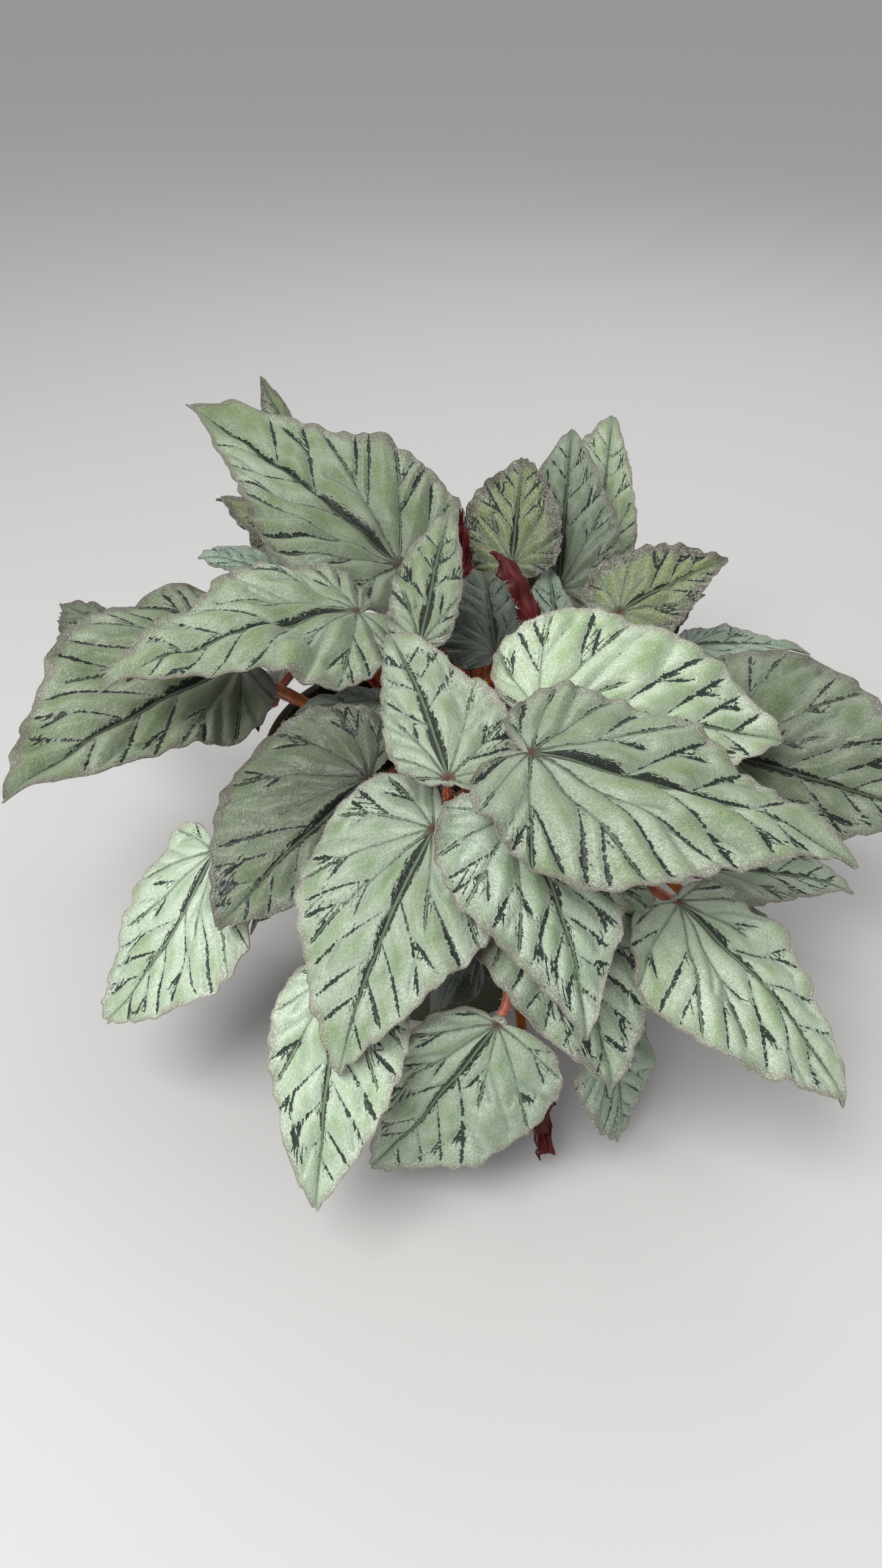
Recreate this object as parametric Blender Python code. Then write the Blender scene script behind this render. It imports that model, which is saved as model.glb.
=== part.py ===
"""Potted rex begonia, about 0.43 m across, in metres with +Z up.

The origin is the centre of the pot's base, on the surface that the pot stands on.
Each blade is one waved, toothed sheet. Its joint (where the stalk meets it) and its tip are
placed on the sight lines of the reference view, at heights given in millimetres. Blades that
the view hides are placed in plan.
"""
import math
from collections import namedtuple

import bmesh
import bpy
import numpy as np

MM = 0.001

# Pot, in millimetres
POT_HEIGHT = 125.0
POT_RIM_RADIUS = 80.0
POT_BASE_RADIUS = 60.0
POT_WALL = 2.2
POT_FLOOR = 3.0
LIP_HEIGHT = 14.0
LIP_STEP = 3.0
DRAIN_HOLES = 5
DRAIN_RADIUS = 4.5
DRAIN_CIRCLE = 38.0
POT_SIDES = 40

# Soil and stems, in millimetres
CLEARANCE = 0.3
SOIL_TOP = 111.0
SOIL_MOUND = 4.0
ROOT_DEPTH = 45.0
ROOT_RADII = (3.0, 5.0, 6.5, 7.5)
ROOT_HOLE_RADIUS = 8.6
ROOT_HOLE_DEPTH = ROOT_DEPTH + CLEARANCE
ROOT_TOP = 4.0
RHIZOME_RADIUS = 7.0
RHIZOME_SIDES = 8
RHIZOME_ARM = 42.0
RHIZOME_ARMS = 6
ARM_SWELLS = (1.0, 0.85, 1.0, 0.85, 0.55)
ARM_OVERRUN = 6.0
ARM_STAGGER = 0.4
ARM_SLOPE = 0.03
ARM_TURN = 4.0
SCAR_SPACING = 4.0
SCARS_A_TURN = 40
STALK_ROOT_SHARE = 0.34
STALK_SIDES = 5
STALK_STEPS = 6
STALK_NECK = 5.0
STALK_GAP = 0.6
STALK_OUTWARD = 0.8
STALK_RISE_SHARE = 0.4
STALK_SWEEP_SHARE = 0.3
STALK_SWEEP = 20.0
STALK_BASE_RADIUS = 2.7
STALK_TOP_RADIUS = 1.9
RIM_PASS_HEIGHT = 6.5
RIM_PASS_REACH = 7.0
RIM_LIFT = 3.0
RIM_LIFTS = 30
RIM_LOOK_STEPS = 40

# Blades: thickness and least reach behind the joint in millimetres, and their form as
# shares of the blade's length
BLADE_THICKNESS = 0.8
SINUS_REACH = 3.5
MARGIN_POINTS = 14
SMALL_MARGIN_POINTS = 10
SMALL_BLADE = 70.0
MARGIN_CROWDING = 1.6
RING_SHARES = (0.55, 1.0)
WIDE = 0.66
NARROW = 0.54
LOBE_FALL = 0.85
LOBE_FALL_RISE = 2.5
LEAST_FALL = 0.5
TOOTH_DEPTH = 0.022
RUFFLES_A_SIDE = 3.5
RUFFLED_REACH = 0.3
DROOP_REACH = 0.4
SHARP_EDGE_DEG = 40.0

# Reference view: the eye in metres, its downward pitch, and the lens in picture elements
EYE = np.array((0.002, -0.441, 0.446))
PITCH_DEG = 38.0
LENS_PX = 1930.0
VIEW_CENTRE_PX = (722.5, 1284.5)

# left, right: how full each half is, as a share of the length; taper: degrees over which the
# tip narrows; closing: degrees at which the basal lobes end; fold: how far the halves rise
# from the midrib; droop: how far they fall again towards the margin; sickle: sideways bow of
# the midrib, as a share of the length; lean: how far the stalk leans back where it meets the
# blade. Angles are in degrees.
Blade = namedtuple("Blade", "name joint tip left right taper closing width roll fold droop "
                            "arch twist ruffle sickle lean",
                   defaults=(WIDE, NARROW, 12.0, 185.0, 1.0, 0.0, 12.0, 35.0,
                             35.0, 0.0, 0.02, 0.0, 20.0))


def sight(across_px, down_px, height_mm):
    """Point at a height on the sight line through one point of the reference view."""
    pitch = math.radians(PITCH_DEG)
    ahead = np.array((0.0, math.cos(pitch), -math.sin(pitch)))
    down = np.array((0.0, -math.sin(pitch), -math.cos(pitch)))
    right = np.array((1.0, 0.0, 0.0))
    u = (across_px - VIEW_CENTRE_PX[0]) / LENS_PX
    v = (down_px - VIEW_CENTRE_PX[1]) / LENS_PX
    ray = ahead + u * right + v * down
    return EYE + ray * (height_mm * MM - EYE[2]) / ray[2]


def plan(azimuth_deg, reach_mm, height_mm):
    """Point at a reach from the pot's axis, azimuth counted from +X towards +Y."""
    turn = math.radians(azimuth_deg)
    return MM * np.array((reach_mm * math.cos(turn), reach_mm * math.sin(turn), height_mm))


BLADES = (
    # Front and right
    Blade("blade_right_front_top", sight(870, 1233, 195), sight(1418, 1416, 152),
          0.52, 0.64, 10, roll=-10, arch=30),
    Blade("blade_front_centre", sight(710, 1358, 164), sight(550, 1766, 95),
          0.63, 0.70, 15, arch=40),
    Blade("blade_front_right", sight(842, 1335, 178), sight(961, 1706, 118),
          0.62, 0.66, 14, arch=30, sickle=0.05),
    Blade("blade_front_right_under", sight(895, 1400, 150), sight(1007, 1782, 84),
          0.66, 0.66, 22, arch=30),
    Blade("blade_right_hanging", sight(1112, 1478, 128), sight(1393, 1813, 70),
          0.50, 0.72, 16, 140, arch=35, lean=60),
    Blade("blade_right_behind_hanging", sight(1180, 1500, 98), sight(1325, 1640, 58),
          closing=150, lean=60),
    Blade("blade_right_low", sight(1160, 1425, 106), sight(1403, 1460, 88), 0.76, 0.6,
          closing=150, lean=60),
    Blade("blade_right_gap", sight(1020, 1420, 108), sight(1085, 1540, 64), width=0.8,
          closing=150, lean=60),
    Blade("blade_right_middle", sight(883, 1170, 174), sight(1286, 1214, 150),
          0.68, 0.54, 18, roll=-35, fold=15),
    Blade("blade_right_far", sight(1190, 1235, 132), sight(1530, 1340, 116),
          0.82, 0.60, 18, roll=-45, fold=15),
    Blade("blade_right_back_flat", sight(1125, 1060, 130), sight(1330, 1070, 124),
          0.46, 0.5, lean=45),
    Blade("blade_right_crumpled", sight(1075, 1040, 145), sight(1155, 969, 158), width=0.8),
    Blade("blade_right_back_young", sight(1015, 1002, 162), sight(1197, 911, 178),
          0.70, 0.60, roll=-25),
    # Back
    Blade("blade_back_tall_light", sight(975, 935, 142), sight(1005, 677, 195),
          0.66, 0.42, closing=150, lean=60),
    Blade("blade_back_tall_dark", sight(915, 965, 148), sight(938, 699, 207), 0.56, 0.56, 16),
    Blade("blade_centre_back_young", sight(838, 925, 167), sight(858, 745, 204),
          0.64, 0.56, 24, width=1.1),
    Blade("blade_folded_red_left", sight(758, 965, 163), sight(755, 837, 193), 0.3, 0.3),
    Blade("blade_folded_red_right", sight(873, 1022, 169), sight(806, 890, 198), 0.36, 0.34),
    Blade("blade_centre_teal", sight(910, 1030, 148), sight(898, 925, 160), width=0.8,
          closing=140),
    Blade("blade_centre_dark", sight(812, 1069, 162), sight(790, 930, 172), 0.62, 0.32, 22),
    Blade("blade_centre_top_small", sight(688, 1057, 184), sight(738, 835, 208),
          0.36, 0.30, 16, lean=40),
    Blade("blade_back_left_large", sight(654, 925, 168), sight(305, 660, 220),
          0.60, 0.58, 10, roll=12, fold=25, droop=25, sickle=0.03),
    Blade("blade_back_left_hidden", sight(484, 760, 190), sight(427, 615, 224), 0.5, 0.36),
    Blade("blade_back_left_under", sight(612, 945, 144), sight(353, 814, 168),
          0.72, 0.5, closing=140, lean=40),
    # Left
    Blade("blade_left_wave", sight(585, 1001, 180), sight(153, 1128, 180),
          0.60, 0.58, roll=12, ruffle=0.035),
    Blade("blade_left_curled", sight(450, 942, 166), sight(323, 912, 168), 0.5, 0.9, 22),
    Blade("blade_far_left_small", sight(205, 1060, 122), sight(100, 985, 122), width=0.9),
    Blade("blade_left_ruffled", sight(395, 1085, 150), sight(0, 1310, 134),
          0.54, 0.76, 12, 160, roll=25, ruffle=0.035),
    Blade("blade_left_bluish", sight(620, 1150, 152), sight(480, 1170, 142)),
    Blade("blade_left_grey", sight(440, 1150, 112), sight(420, 1196, 88), width=0.8,
          closing=150, lean=60),
    Blade("blade_left_middle", sight(605, 1274, 160), sight(355, 1523, 118),
          0.56, 0.78, 20, roll=25),
    Blade("blade_left_pale", sight(351, 1395, 121), sight(172, 1675, 60),
          0.74, 0.70, 20, 125, sickle=0.12, lean=60),
    Blade("blade_left_under_middle", sight(520, 1400, 128), sight(405, 1530, 90),
          width=0.8, closing=150, lean=60),
    Blade("blade_centre_middle", sight(734, 1275, 184), sight(636, 1031, 194),
          0.45, 0.62, closing=150),
    Blade("blade_centre_shade", sight(822, 1185, 147), sight(768, 1140, 146)),
    # Low in front
    Blade("blade_front_left_hanging", sight(560, 1590, 117), sight(517, 1985, 46),
          0.60, 0.52, 18, 140, lean=60),
    Blade("blade_bottom_centre", sight(815, 1678, 100), sight(606, 1915, 18),
          0.75, 0.60, 12, 115, roll=70, lean=55),
    Blade("blade_bottom_right", sight(1000, 1690, 80), sight(1014, 1864, 20),
          0.62, 0.66, 25, 150, lean=70),
    Blade("blade_front_gap", sight(800, 1550, 98), sight(700, 1665, 56),
          closing=150, lean=70),
    Blade("blade_bottom_curl", sight(870, 1760, 58), sight(888, 1902, 12), 0.3, 0.3,
          closing=140, lean=70),
    # Behind, out of sight of the reference view
    Blade("blade_behind_right", plan(16, 114, 118), plan(13, 180, 62), closing=150, lean=50),
    Blade("blade_behind_right_low", plan(40, 114, 116), plan(37, 180, 52),
          closing=150, lean=50),
    Blade("blade_behind_right_back", plan(67, 116, 122), plan(68, 188, 80),
          closing=150, lean=50),
    Blade("blade_behind_back", plan(88, 114, 116), plan(88, 182, 50),
          0.72, 0.72, closing=150, lean=50),
    Blade("blade_behind_left_back", plan(110, 116, 120), plan(112, 188, 76),
          closing=150, lean=50),
    Blade("blade_behind_left_low", plan(130, 114, 114), plan(134, 178, 50),
          closing=150, lean=50),
    Blade("blade_behind_left", plan(154, 114, 126), plan(154, 178, 86),
          closing=150, lean=50),
)


def unit(vector):
    """Vector of length one."""
    return vector / np.linalg.norm(vector)


def blade_frame(blade):
    """Axes of a blade: along its chord, to its left, and out of its face; and its length.

    The face turns up as far as the chord lets it, then rolls about the chord. The length is
    that of the arc whose chord runs from the joint to the tip.
    """
    chord = blade.tip - blade.joint
    along = unit(chord)
    face = unit(np.array((0.0, 0.0, 1.0)) - along[2] * along)
    left = np.cross(face, along)
    roll = math.radians(blade.roll)
    face, left = (math.cos(roll) * face + math.sin(roll) * left,
                  math.cos(roll) * left - math.sin(roll) * face)
    half = math.radians(blade.arch) / 2
    length = np.linalg.norm(chord) * half / math.sin(half)
    return along, left, face, length


def margin_points(blade):
    """Number of steps along each half's margin; every second one is a tooth."""
    length = blade_frame(blade)[3]
    return MARGIN_POINTS if length > SMALL_BLADE * MM else SMALL_MARGIN_POINTS


def half_outline(blade, body, turn_deg):
    """Share of the length from joint to margin: a rounded half that tapers to a fine tip."""
    fall = max(LOBE_FALL + LOBE_FALL_RISE * (WIDE - body), LEAST_FALL)
    lobe = body * np.clip(1 - turn_deg / blade.closing, 0, 1) ** fall
    reach = lobe + (1 - body) * np.exp(-turn_deg / blade.taper)
    return np.maximum(reach, SINUS_REACH * MM / blade_frame(blade)[3])


def margin(blade, side, run):
    """Turn from the tip in degrees, and reach as a share of the length, along one half.

    run goes from 0 at the tip to 1 in the sinus; side is 1 on the left and -1 on the right.
    """
    turn = 180.0 * run ** MARGIN_CROWDING
    body = blade.left if side > 0 else blade.right
    tooth = 1 + TOOTH_DEPTH * np.cos(math.pi * margin_points(blade) * run)
    return turn, half_outline(blade, body, turn) * tooth


def arc_point(blade, length, x, y):
    """Place flat blade points on the blade's bent form, in the axes of its chord.

    The midrib is an arc that turns by arch from joint to tip and bows sideways by sickle.
    Across it each half rises at fold from the midrib, then curves down by droop over
    DROOP_REACH of the length. The cross section turns by twist along the length.
    """
    arch = math.radians(blade.arch)
    start = arch / 2
    heading = start - arch * x / length
    bend = length / arch
    mid_x = bend * (math.sin(start) - np.sin(heading))
    mid_z = bend * (np.cos(heading) - math.cos(start))
    fold = math.radians(blade.fold)
    curve = math.radians(blade.droop) / (DROOP_REACH * length)
    slope = fold - curve * np.abs(y)
    across = np.sign(y) * (math.sin(fold) - np.sin(slope)) / curve
    rise = (np.cos(slope) - math.cos(fold)) / curve
    twist = math.radians(blade.twist) * x / length
    side = across * np.cos(twist) - rise * np.sin(twist)
    lift = across * np.sin(twist) + rise * np.cos(twist)
    bow = blade.sickle * length * np.sin(math.pi * np.clip(x / length, -0.3, 1.0))
    return mid_x - lift * np.sin(heading), side + bow, mid_z + lift * np.cos(heading)


def blade_points(blade, side, run, share):
    """Points of the upper face: share of the way from the joint to the margin at each run.

    The margin's ruffles die away towards the sinus, where the two halves meet.
    """
    along, left, face, length = blade_frame(blade)
    turn, reach = margin(blade, side, run)
    turn = np.radians(turn)
    x = share * reach * length * np.cos(turn)
    y = share * reach * length * np.sin(turn) * side * blade.width
    px, py, pz = arc_point(blade, length, x, y)
    wave = np.sin(RUFFLES_A_SIDE * 2 * math.pi * run + side)
    wave = wave * np.clip(reach / RUFFLED_REACH, 0, 1)
    pz = pz + blade.ruffle * length * share ** 2 * wave
    return blade.joint + px[:, None] * along + py[:, None] * left + pz[:, None] * face


def blade_loop(blade, share):
    """Closed loop of points round the blade, from the tip over the left half to the right."""
    count = margin_points(blade)
    runs = np.arange(1, count) / count
    tip = blade_points(blade, 1, np.array((0.0,)), share)
    left = blade_points(blade, 1, runs, share)
    sinus = blade_points(blade, 1, np.array((1.0,)), share)
    right = blade_points(blade, -1, runs[::-1], share)
    return np.concatenate((tip, left, sinus, right))


def joint_face(blade):
    """Direction out of the face at the joint, where the midrib still rises."""
    along, _, face, _ = blade_frame(blade)
    start = math.radians(blade.arch) / 2
    return math.cos(start) * face - math.sin(start) * along


def vertex_normals(points, faces):
    """Unit normals from the sum of the neighbouring triangles' normals."""
    a, b, c = (points[faces[:, i]] for i in range(3))
    flat = np.cross(b - a, c - a)
    total = np.zeros_like(points)
    for corner in range(3):
        np.add.at(total, faces[:, corner], flat)
    return total / np.linalg.norm(total, axis=1)[:, None]


def new_object(name, points, faces, material):
    """Mesh object at the world's origin, with its place in its mesh."""
    mesh = bpy.data.meshes.new(name)
    mesh.from_pydata([tuple(p) for p in points], [], [tuple(f) for f in faces])
    mesh.validate()
    mesh.materials.append(material)
    mesh.shade_smooth()
    mesh.set_sharp_from_angle(angle=math.radians(SHARP_EDGE_DEG))
    obj = bpy.data.objects.new(name, mesh)
    bpy.context.scene.collection.objects.link(obj)
    return obj


def blade_object(blade, material):
    """Blade as one closed sheet, its two faces split into the same triangles."""
    loops = [blade_loop(blade, share) for share in RING_SHARES]
    count = len(loops[0])
    top = np.concatenate([blade.joint[None, :]] + loops)
    faces = []
    for i in range(count):
        j = (i + 1) % count
        faces.append((0, 1 + i, 1 + j))
        for ring in range(len(loops) - 1):
            inner = 1 + ring * count
            outer = inner + count
            faces.append((inner + i, outer + i, outer + j))
            faces.append((inner + i, outer + j, inner + j))
    faces = np.array(faces)
    bottom = top - vertex_normals(top, faces) * BLADE_THICKNESS * MM
    shift = len(top)
    edge = shift - count
    walls = []
    for i in range(count):
        j = (i + 1) % count
        a, b = edge + i, edge + j
        walls.append((a, a + shift, b + shift))
        walls.append((a, b + shift, b))
    everything = np.concatenate((faces, faces[:, ::-1] + shift, np.array(walls)))
    return new_object(blade.name, np.concatenate((top, bottom)), everything, material)


def tube(name, path, radii, sides, material):
    """Closed tube round a path, with flat ends, its sections square to the path."""
    steps = np.gradient(path, axis=0)
    ahead = steps / np.linalg.norm(steps, axis=1)[:, None]
    side = np.cross(ahead, (0.37, 0.61, 0.70))
    side /= np.linalg.norm(side, axis=1)[:, None]
    over = np.cross(ahead, side)
    turns = np.arange(sides) * 2 * math.pi / sides
    ring = (np.cos(turns)[None, :, None] * side[:, None, :]
            + np.sin(turns)[None, :, None] * over[:, None, :])
    points = (path[:, None, :] + ring * np.asarray(radii)[:, None, None]).reshape(-1, 3)
    faces = []
    for step in range(len(path) - 1):
        for i in range(sides):
            j = (i + 1) % sides
            a, b = step * sides + i, step * sides + j
            faces.append((a, b, b + sides, a + sides))
    last = (len(path) - 1) * sides
    faces.append(tuple(range(sides))[::-1])
    faces.append(tuple(range(last, last + sides)))
    return new_object(name, points, faces, material)


def stalk_root(blade):
    """Point on the rhizome where a stalk starts: on the arm nearest to its blade.

    The stalks of one arm start a little apart along it, as its leaf scars do.
    """
    heading = math.atan2(blade.joint[1], blade.joint[0])
    step = 2 * math.pi / RHIZOME_ARMS
    arm = step * round(heading / step) + math.radians(ARM_TURN)
    apart = SCAR_SPACING * math.sin(heading * SCARS_A_TURN)
    out = STALK_ROOT_SHARE * math.hypot(blade.joint[0], blade.joint[1]) / MM
    reach = max(min(out, RHIZOME_ARM) + apart, SCAR_SPACING)
    height = SOIL_TOP + SOIL_MOUND + RHIZOME_RADIUS
    return MM * np.array((reach * math.cos(arm), reach * math.sin(arm), height))


def cubic(corners, steps):
    """Points along the cubic curve of four control points."""
    t = np.linspace(0, 1, steps)[:, None]
    start, first, second, end = corners
    return ((1 - t) ** 3 * start + 3 * t * (1 - t) ** 2 * first
            + 3 * t * t * (1 - t) * second + t ** 3 * end)


def clears_rim(path):
    """Whether a path passes well above the pot's rim wherever it crosses it."""
    reach = np.hypot(path[:, 0], path[:, 1]) / MM
    over = np.abs(reach - POT_RIM_RADIUS + LIP_STEP / 2) < RIM_PASS_REACH
    low = path[:, 2] / MM < POT_HEIGHT + RIM_PASS_HEIGHT
    return not np.any(over & low)


def stalk_path(blade):
    """Cubic curve from the rhizome up over the rim to just under the blade's joint."""
    face = joint_face(blade)
    along = blade_frame(blade)[0]
    lean = math.radians(blade.lean)
    leave = -(math.cos(lean) * face + math.sin(lean) * along)
    below = BLADE_THICKNESS + STALK_GAP + STALK_TOP_RADIUS * math.sin(lean)
    end = blade.joint - face * below * MM
    start = stalk_root(blade)
    span = np.linalg.norm(end - start)
    outward = unit(np.array((end[0] - start[0], end[1] - start[1], 0.0)))
    rise = unit(np.array((0.0, 0.0, 1.0)) + STALK_OUTWARD * outward)
    neck = end + leave * STALK_NECK * MM
    first = start + rise * STALK_RISE_SHARE * span
    second = neck + leave * min(STALK_SWEEP_SHARE * span, STALK_SWEEP * MM)
    raised = np.array((0.0, 0.0, RIM_LIFT * MM))
    for _ in range(RIM_LIFTS):
        if clears_rim(cubic((start, first, second, neck), RIM_LOOK_STEPS)):
            break
        first = first + raised
        second = second + raised
    return np.concatenate((cubic((start, first, second, neck), STALK_STEPS), end[None, :]))


def join_all(name, pieces, material):
    """One body from overlapping pieces, by one Boolean union on their collection."""
    group = bpy.data.collections.new(name + "_pieces")
    bpy.context.scene.collection.children.link(group)
    base, others = pieces[0], pieces[1:]
    for piece in others:
        bpy.context.scene.collection.objects.unlink(piece)
        group.objects.link(piece)
    union = base.modifiers.new("union", "BOOLEAN")
    union.operation = "UNION"
    union.operand_type = "COLLECTION"
    union.solver = "MANIFOLD"
    union.collection = group
    depsgraph = bpy.context.evaluated_depsgraph_get()
    joined = bpy.data.meshes.new_from_object(base.evaluated_get(depsgraph))
    base.modifiers.clear()
    base.data = joined
    for piece in others:
        bpy.data.objects.remove(piece)
    bpy.data.collections.remove(group)
    keep_main_body(joined)
    base.name = name
    joined.name = name
    joined.materials.clear()
    joined.materials.append(material)
    return base


def connected(seed, seen):
    """Faces joined to a first face over edges that have two faces."""
    piece = []
    waiting = [seed]
    seen.add(seed)
    while waiting:
        face = waiting.pop()
        piece.append(face)
        for edge in face.edges:
            if len(edge.link_faces) != 2:
                continue
            for near in edge.link_faces:
                if near not in seen:
                    seen.add(near)
                    waiting.append(near)
    return piece


def keep_main_body(data):
    """Drop the specks and pinholes that a union leaves beside the one large body."""
    mesh = bmesh.new()
    mesh.from_mesh(data)
    bmesh.ops.triangulate(mesh, faces=mesh.faces)
    seen = set()
    pieces = [connected(face, seen) for face in mesh.faces if face not in seen]
    main_piece = max(pieces, key=len)
    for piece in pieces:
        if piece is not main_piece:
            bmesh.ops.delete(mesh, geom=piece, context="FACES")
    mesh.to_mesh(data)
    mesh.free()


def rhizome_arm(arm, level, material):
    """One creeping arm of the rhizome, swollen at its scars and rising a little outward.

    Each arm starts a little further past the middle than the one before, so that no two
    have corners in the same place where they join.
    """
    turn = arm * 2 * math.pi / RHIZOME_ARMS + math.radians(ARM_TURN)
    steps = np.linspace(-ARM_STAGGER * arm, RHIZOME_ARM + ARM_OVERRUN, len(ARM_SWELLS))
    heading = np.array((math.cos(turn), math.sin(turn), ARM_SLOPE))
    path = steps[:, None] * MM * heading + (0, 0, level)
    radii = RHIZOME_RADIUS * MM * np.array(ARM_SWELLS)
    return tube("arm_%d" % arm, path, radii, RHIZOME_SIDES, material)


def stems(material):
    """Rhizome with its arms, its root in the soil and every leaf stalk, as one body."""
    level = MM * (SOIL_TOP + SOIL_MOUND + RHIZOME_RADIUS + CLEARANCE)
    top = np.array((0.0, 0.0, level + ROOT_TOP * MM))
    bottom = np.array((0.0, 0.0, MM * (SOIL_TOP - ROOT_DEPTH)))
    pieces = [tube("root", np.linspace(bottom, top, len(ROOT_RADII)),
                   MM * np.array(ROOT_RADII), RHIZOME_SIDES, material)]
    for arm in range(RHIZOME_ARMS):
        pieces.append(rhizome_arm(arm, level, material))
    for blade in BLADES:
        path = stalk_path(blade)
        radii = np.linspace(STALK_BASE_RADIUS, STALK_TOP_RADIUS, len(path)) * MM
        pieces.append(tube("stalk_" + blade.name, path, radii, STALK_SIDES, material))
    return join_all("stems", pieces, material)


def turned(name, profile, sides, material):
    """Body turned round the Z axis from a closed profile of (radius, height) points."""
    mesh = bmesh.new()
    corners = [mesh.verts.new((r * MM, 0.0, z * MM)) for r, z in profile]
    edges = [mesh.edges.new((corners[i], corners[(i + 1) % len(corners)]))
             for i in range(len(corners))]
    bmesh.ops.spin(mesh, geom=corners + edges, cent=(0, 0, 0), axis=(0, 0, 1),
                   angle=2 * math.pi, steps=sides, use_merge=True)
    bmesh.ops.remove_doubles(mesh, verts=mesh.verts, dist=0.00001)
    bmesh.ops.recalc_face_normals(mesh, faces=mesh.faces)
    data = bpy.data.meshes.new(name)
    mesh.to_mesh(data)
    mesh.free()
    data.materials.append(material)
    data.shade_smooth()
    data.set_sharp_from_angle(angle=math.radians(SHARP_EDGE_DEG))
    obj = bpy.data.objects.new(name, data)
    bpy.context.scene.collection.objects.link(obj)
    return obj


def cut(obj, cutter):
    """Cut one body out of another with an applied exact Boolean."""
    change = obj.modifiers.new("cut", "BOOLEAN")
    change.operation = "DIFFERENCE"
    change.object = cutter
    depsgraph = bpy.context.evaluated_depsgraph_get()
    result = bpy.data.meshes.new_from_object(obj.evaluated_get(depsgraph))
    obj.modifiers.clear()
    obj.data = result
    bpy.data.objects.remove(cutter)


def pot_radius(height):
    """Outer radius of the pot's sloping wall at a height."""
    slope = (POT_RIM_RADIUS - LIP_STEP - POT_BASE_RADIUS) / (POT_HEIGHT - LIP_HEIGHT)
    return POT_BASE_RADIUS + slope * min(height, POT_HEIGHT - LIP_HEIGHT)


def pot(material):
    """Moulded pot: a flat base with drain holes, a sloping wall and a stepped rolled rim."""
    shoulder = POT_HEIGHT - LIP_HEIGHT
    inner_top = POT_RIM_RADIUS - LIP_STEP - POT_WALL
    profile = (
        (0.001, 0.0), (POT_BASE_RADIUS - 2, 0.0), (POT_BASE_RADIUS, 2.0),
        (pot_radius(shoulder), shoulder), (POT_RIM_RADIUS - 0.6, shoulder + 0.6),
        (POT_RIM_RADIUS, POT_HEIGHT - 1.5), (POT_RIM_RADIUS - 1.2, POT_HEIGHT),
        (inner_top + 0.8, POT_HEIGHT), (inner_top, POT_HEIGHT - 1.2),
        (pot_radius(shoulder) - POT_WALL, shoulder),
        (pot_radius(POT_FLOOR) - POT_WALL, POT_FLOOR), (0.001, POT_FLOOR),
    )
    body = turned("pot", profile, POT_SIDES, material)
    for hole in range(DRAIN_HOLES):
        turn = hole * 2 * math.pi / DRAIN_HOLES
        place = (DRAIN_CIRCLE * MM * math.cos(turn), DRAIN_CIRCLE * MM * math.sin(turn), 0)
        bpy.ops.mesh.primitive_cylinder_add(vertices=12, radius=DRAIN_RADIUS * MM,
                                            depth=4 * POT_FLOOR * MM, location=place)
        cut(body, bpy.context.object)
    return body


def soil(material):
    """Filling of soil, mounded a little, with a plain hole for the root."""
    low = POT_FLOOR + CLEARANCE
    wall = POT_WALL + CLEARANCE
    profile = (
        (0.001, low), (pot_radius(low) - wall, low),
        (pot_radius(SOIL_TOP) - wall, SOIL_TOP), (48.0, SOIL_TOP + 0.6 * SOIL_MOUND),
        (20.0, SOIL_TOP + SOIL_MOUND), (0.001, SOIL_TOP + SOIL_MOUND),
    )
    body = turned("soil", profile, POT_SIDES, material)
    bpy.ops.mesh.primitive_cylinder_add(vertices=16, radius=ROOT_HOLE_RADIUS * MM,
                                        depth=2 * ROOT_HOLE_DEPTH * MM,
                                        location=(0, 0, SOIL_TOP * MM))
    cut(body, bpy.context.object)
    return body


def material(name, colour, roughness):
    """Plain Principled material."""
    made = bpy.data.materials.new(name)
    made.use_nodes = True
    shader = made.node_tree.nodes["Principled BSDF"]
    shader.inputs["Base Color"].default_value = (*colour, 1.0)
    shader.inputs["Roughness"].default_value = roughness
    shader.inputs["Metallic"].default_value = 0.0
    return made


def main():
    """Clear the scene and build the pot, the soil, the stems and the blades."""
    for old in list(bpy.data.objects):
        bpy.data.objects.remove(old)
    pot(material("olive_plastic", (0.06, 0.065, 0.03), 0.45))
    soil(material("dark_soil", (0.02, 0.013, 0.008), 0.95))
    stems(material("russet_stalk", (0.35, 0.12, 0.05), 0.5))
    leaf = material("silver_green_leaf", (0.36, 0.50, 0.36), 0.45)
    for blade in BLADES:
        blade_object(blade, leaf)


main()
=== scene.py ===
"""Dresses the potted rex begonia: blades with veins and hairs, stalks, soil, pot and stage."""

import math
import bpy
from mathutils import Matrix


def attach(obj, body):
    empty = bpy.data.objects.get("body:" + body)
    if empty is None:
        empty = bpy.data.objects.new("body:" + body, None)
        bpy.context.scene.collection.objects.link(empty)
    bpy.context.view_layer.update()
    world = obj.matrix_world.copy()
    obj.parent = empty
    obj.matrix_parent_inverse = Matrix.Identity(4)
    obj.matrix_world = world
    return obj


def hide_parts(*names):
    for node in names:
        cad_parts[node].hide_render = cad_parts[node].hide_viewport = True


bl_info = {
    "name": "Potted Begonia",
    "version": (1, 0, 0),
    "blender": (4, 5, 0),
    "location": "View3D > Sidebar > Begonia",
    "description": "Makes the visible pieces of a potted rex begonia round its solid model",
    "category": "Add Mesh",
}

from collections import namedtuple

import bpy
import numpy as np

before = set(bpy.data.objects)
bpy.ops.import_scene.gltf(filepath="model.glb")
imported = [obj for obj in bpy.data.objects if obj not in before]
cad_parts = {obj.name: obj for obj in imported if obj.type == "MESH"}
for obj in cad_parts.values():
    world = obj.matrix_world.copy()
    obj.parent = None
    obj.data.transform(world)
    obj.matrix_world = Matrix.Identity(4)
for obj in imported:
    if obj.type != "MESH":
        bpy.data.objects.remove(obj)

MM = 0.001
FULL_TURN = 2 * math.pi

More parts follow.
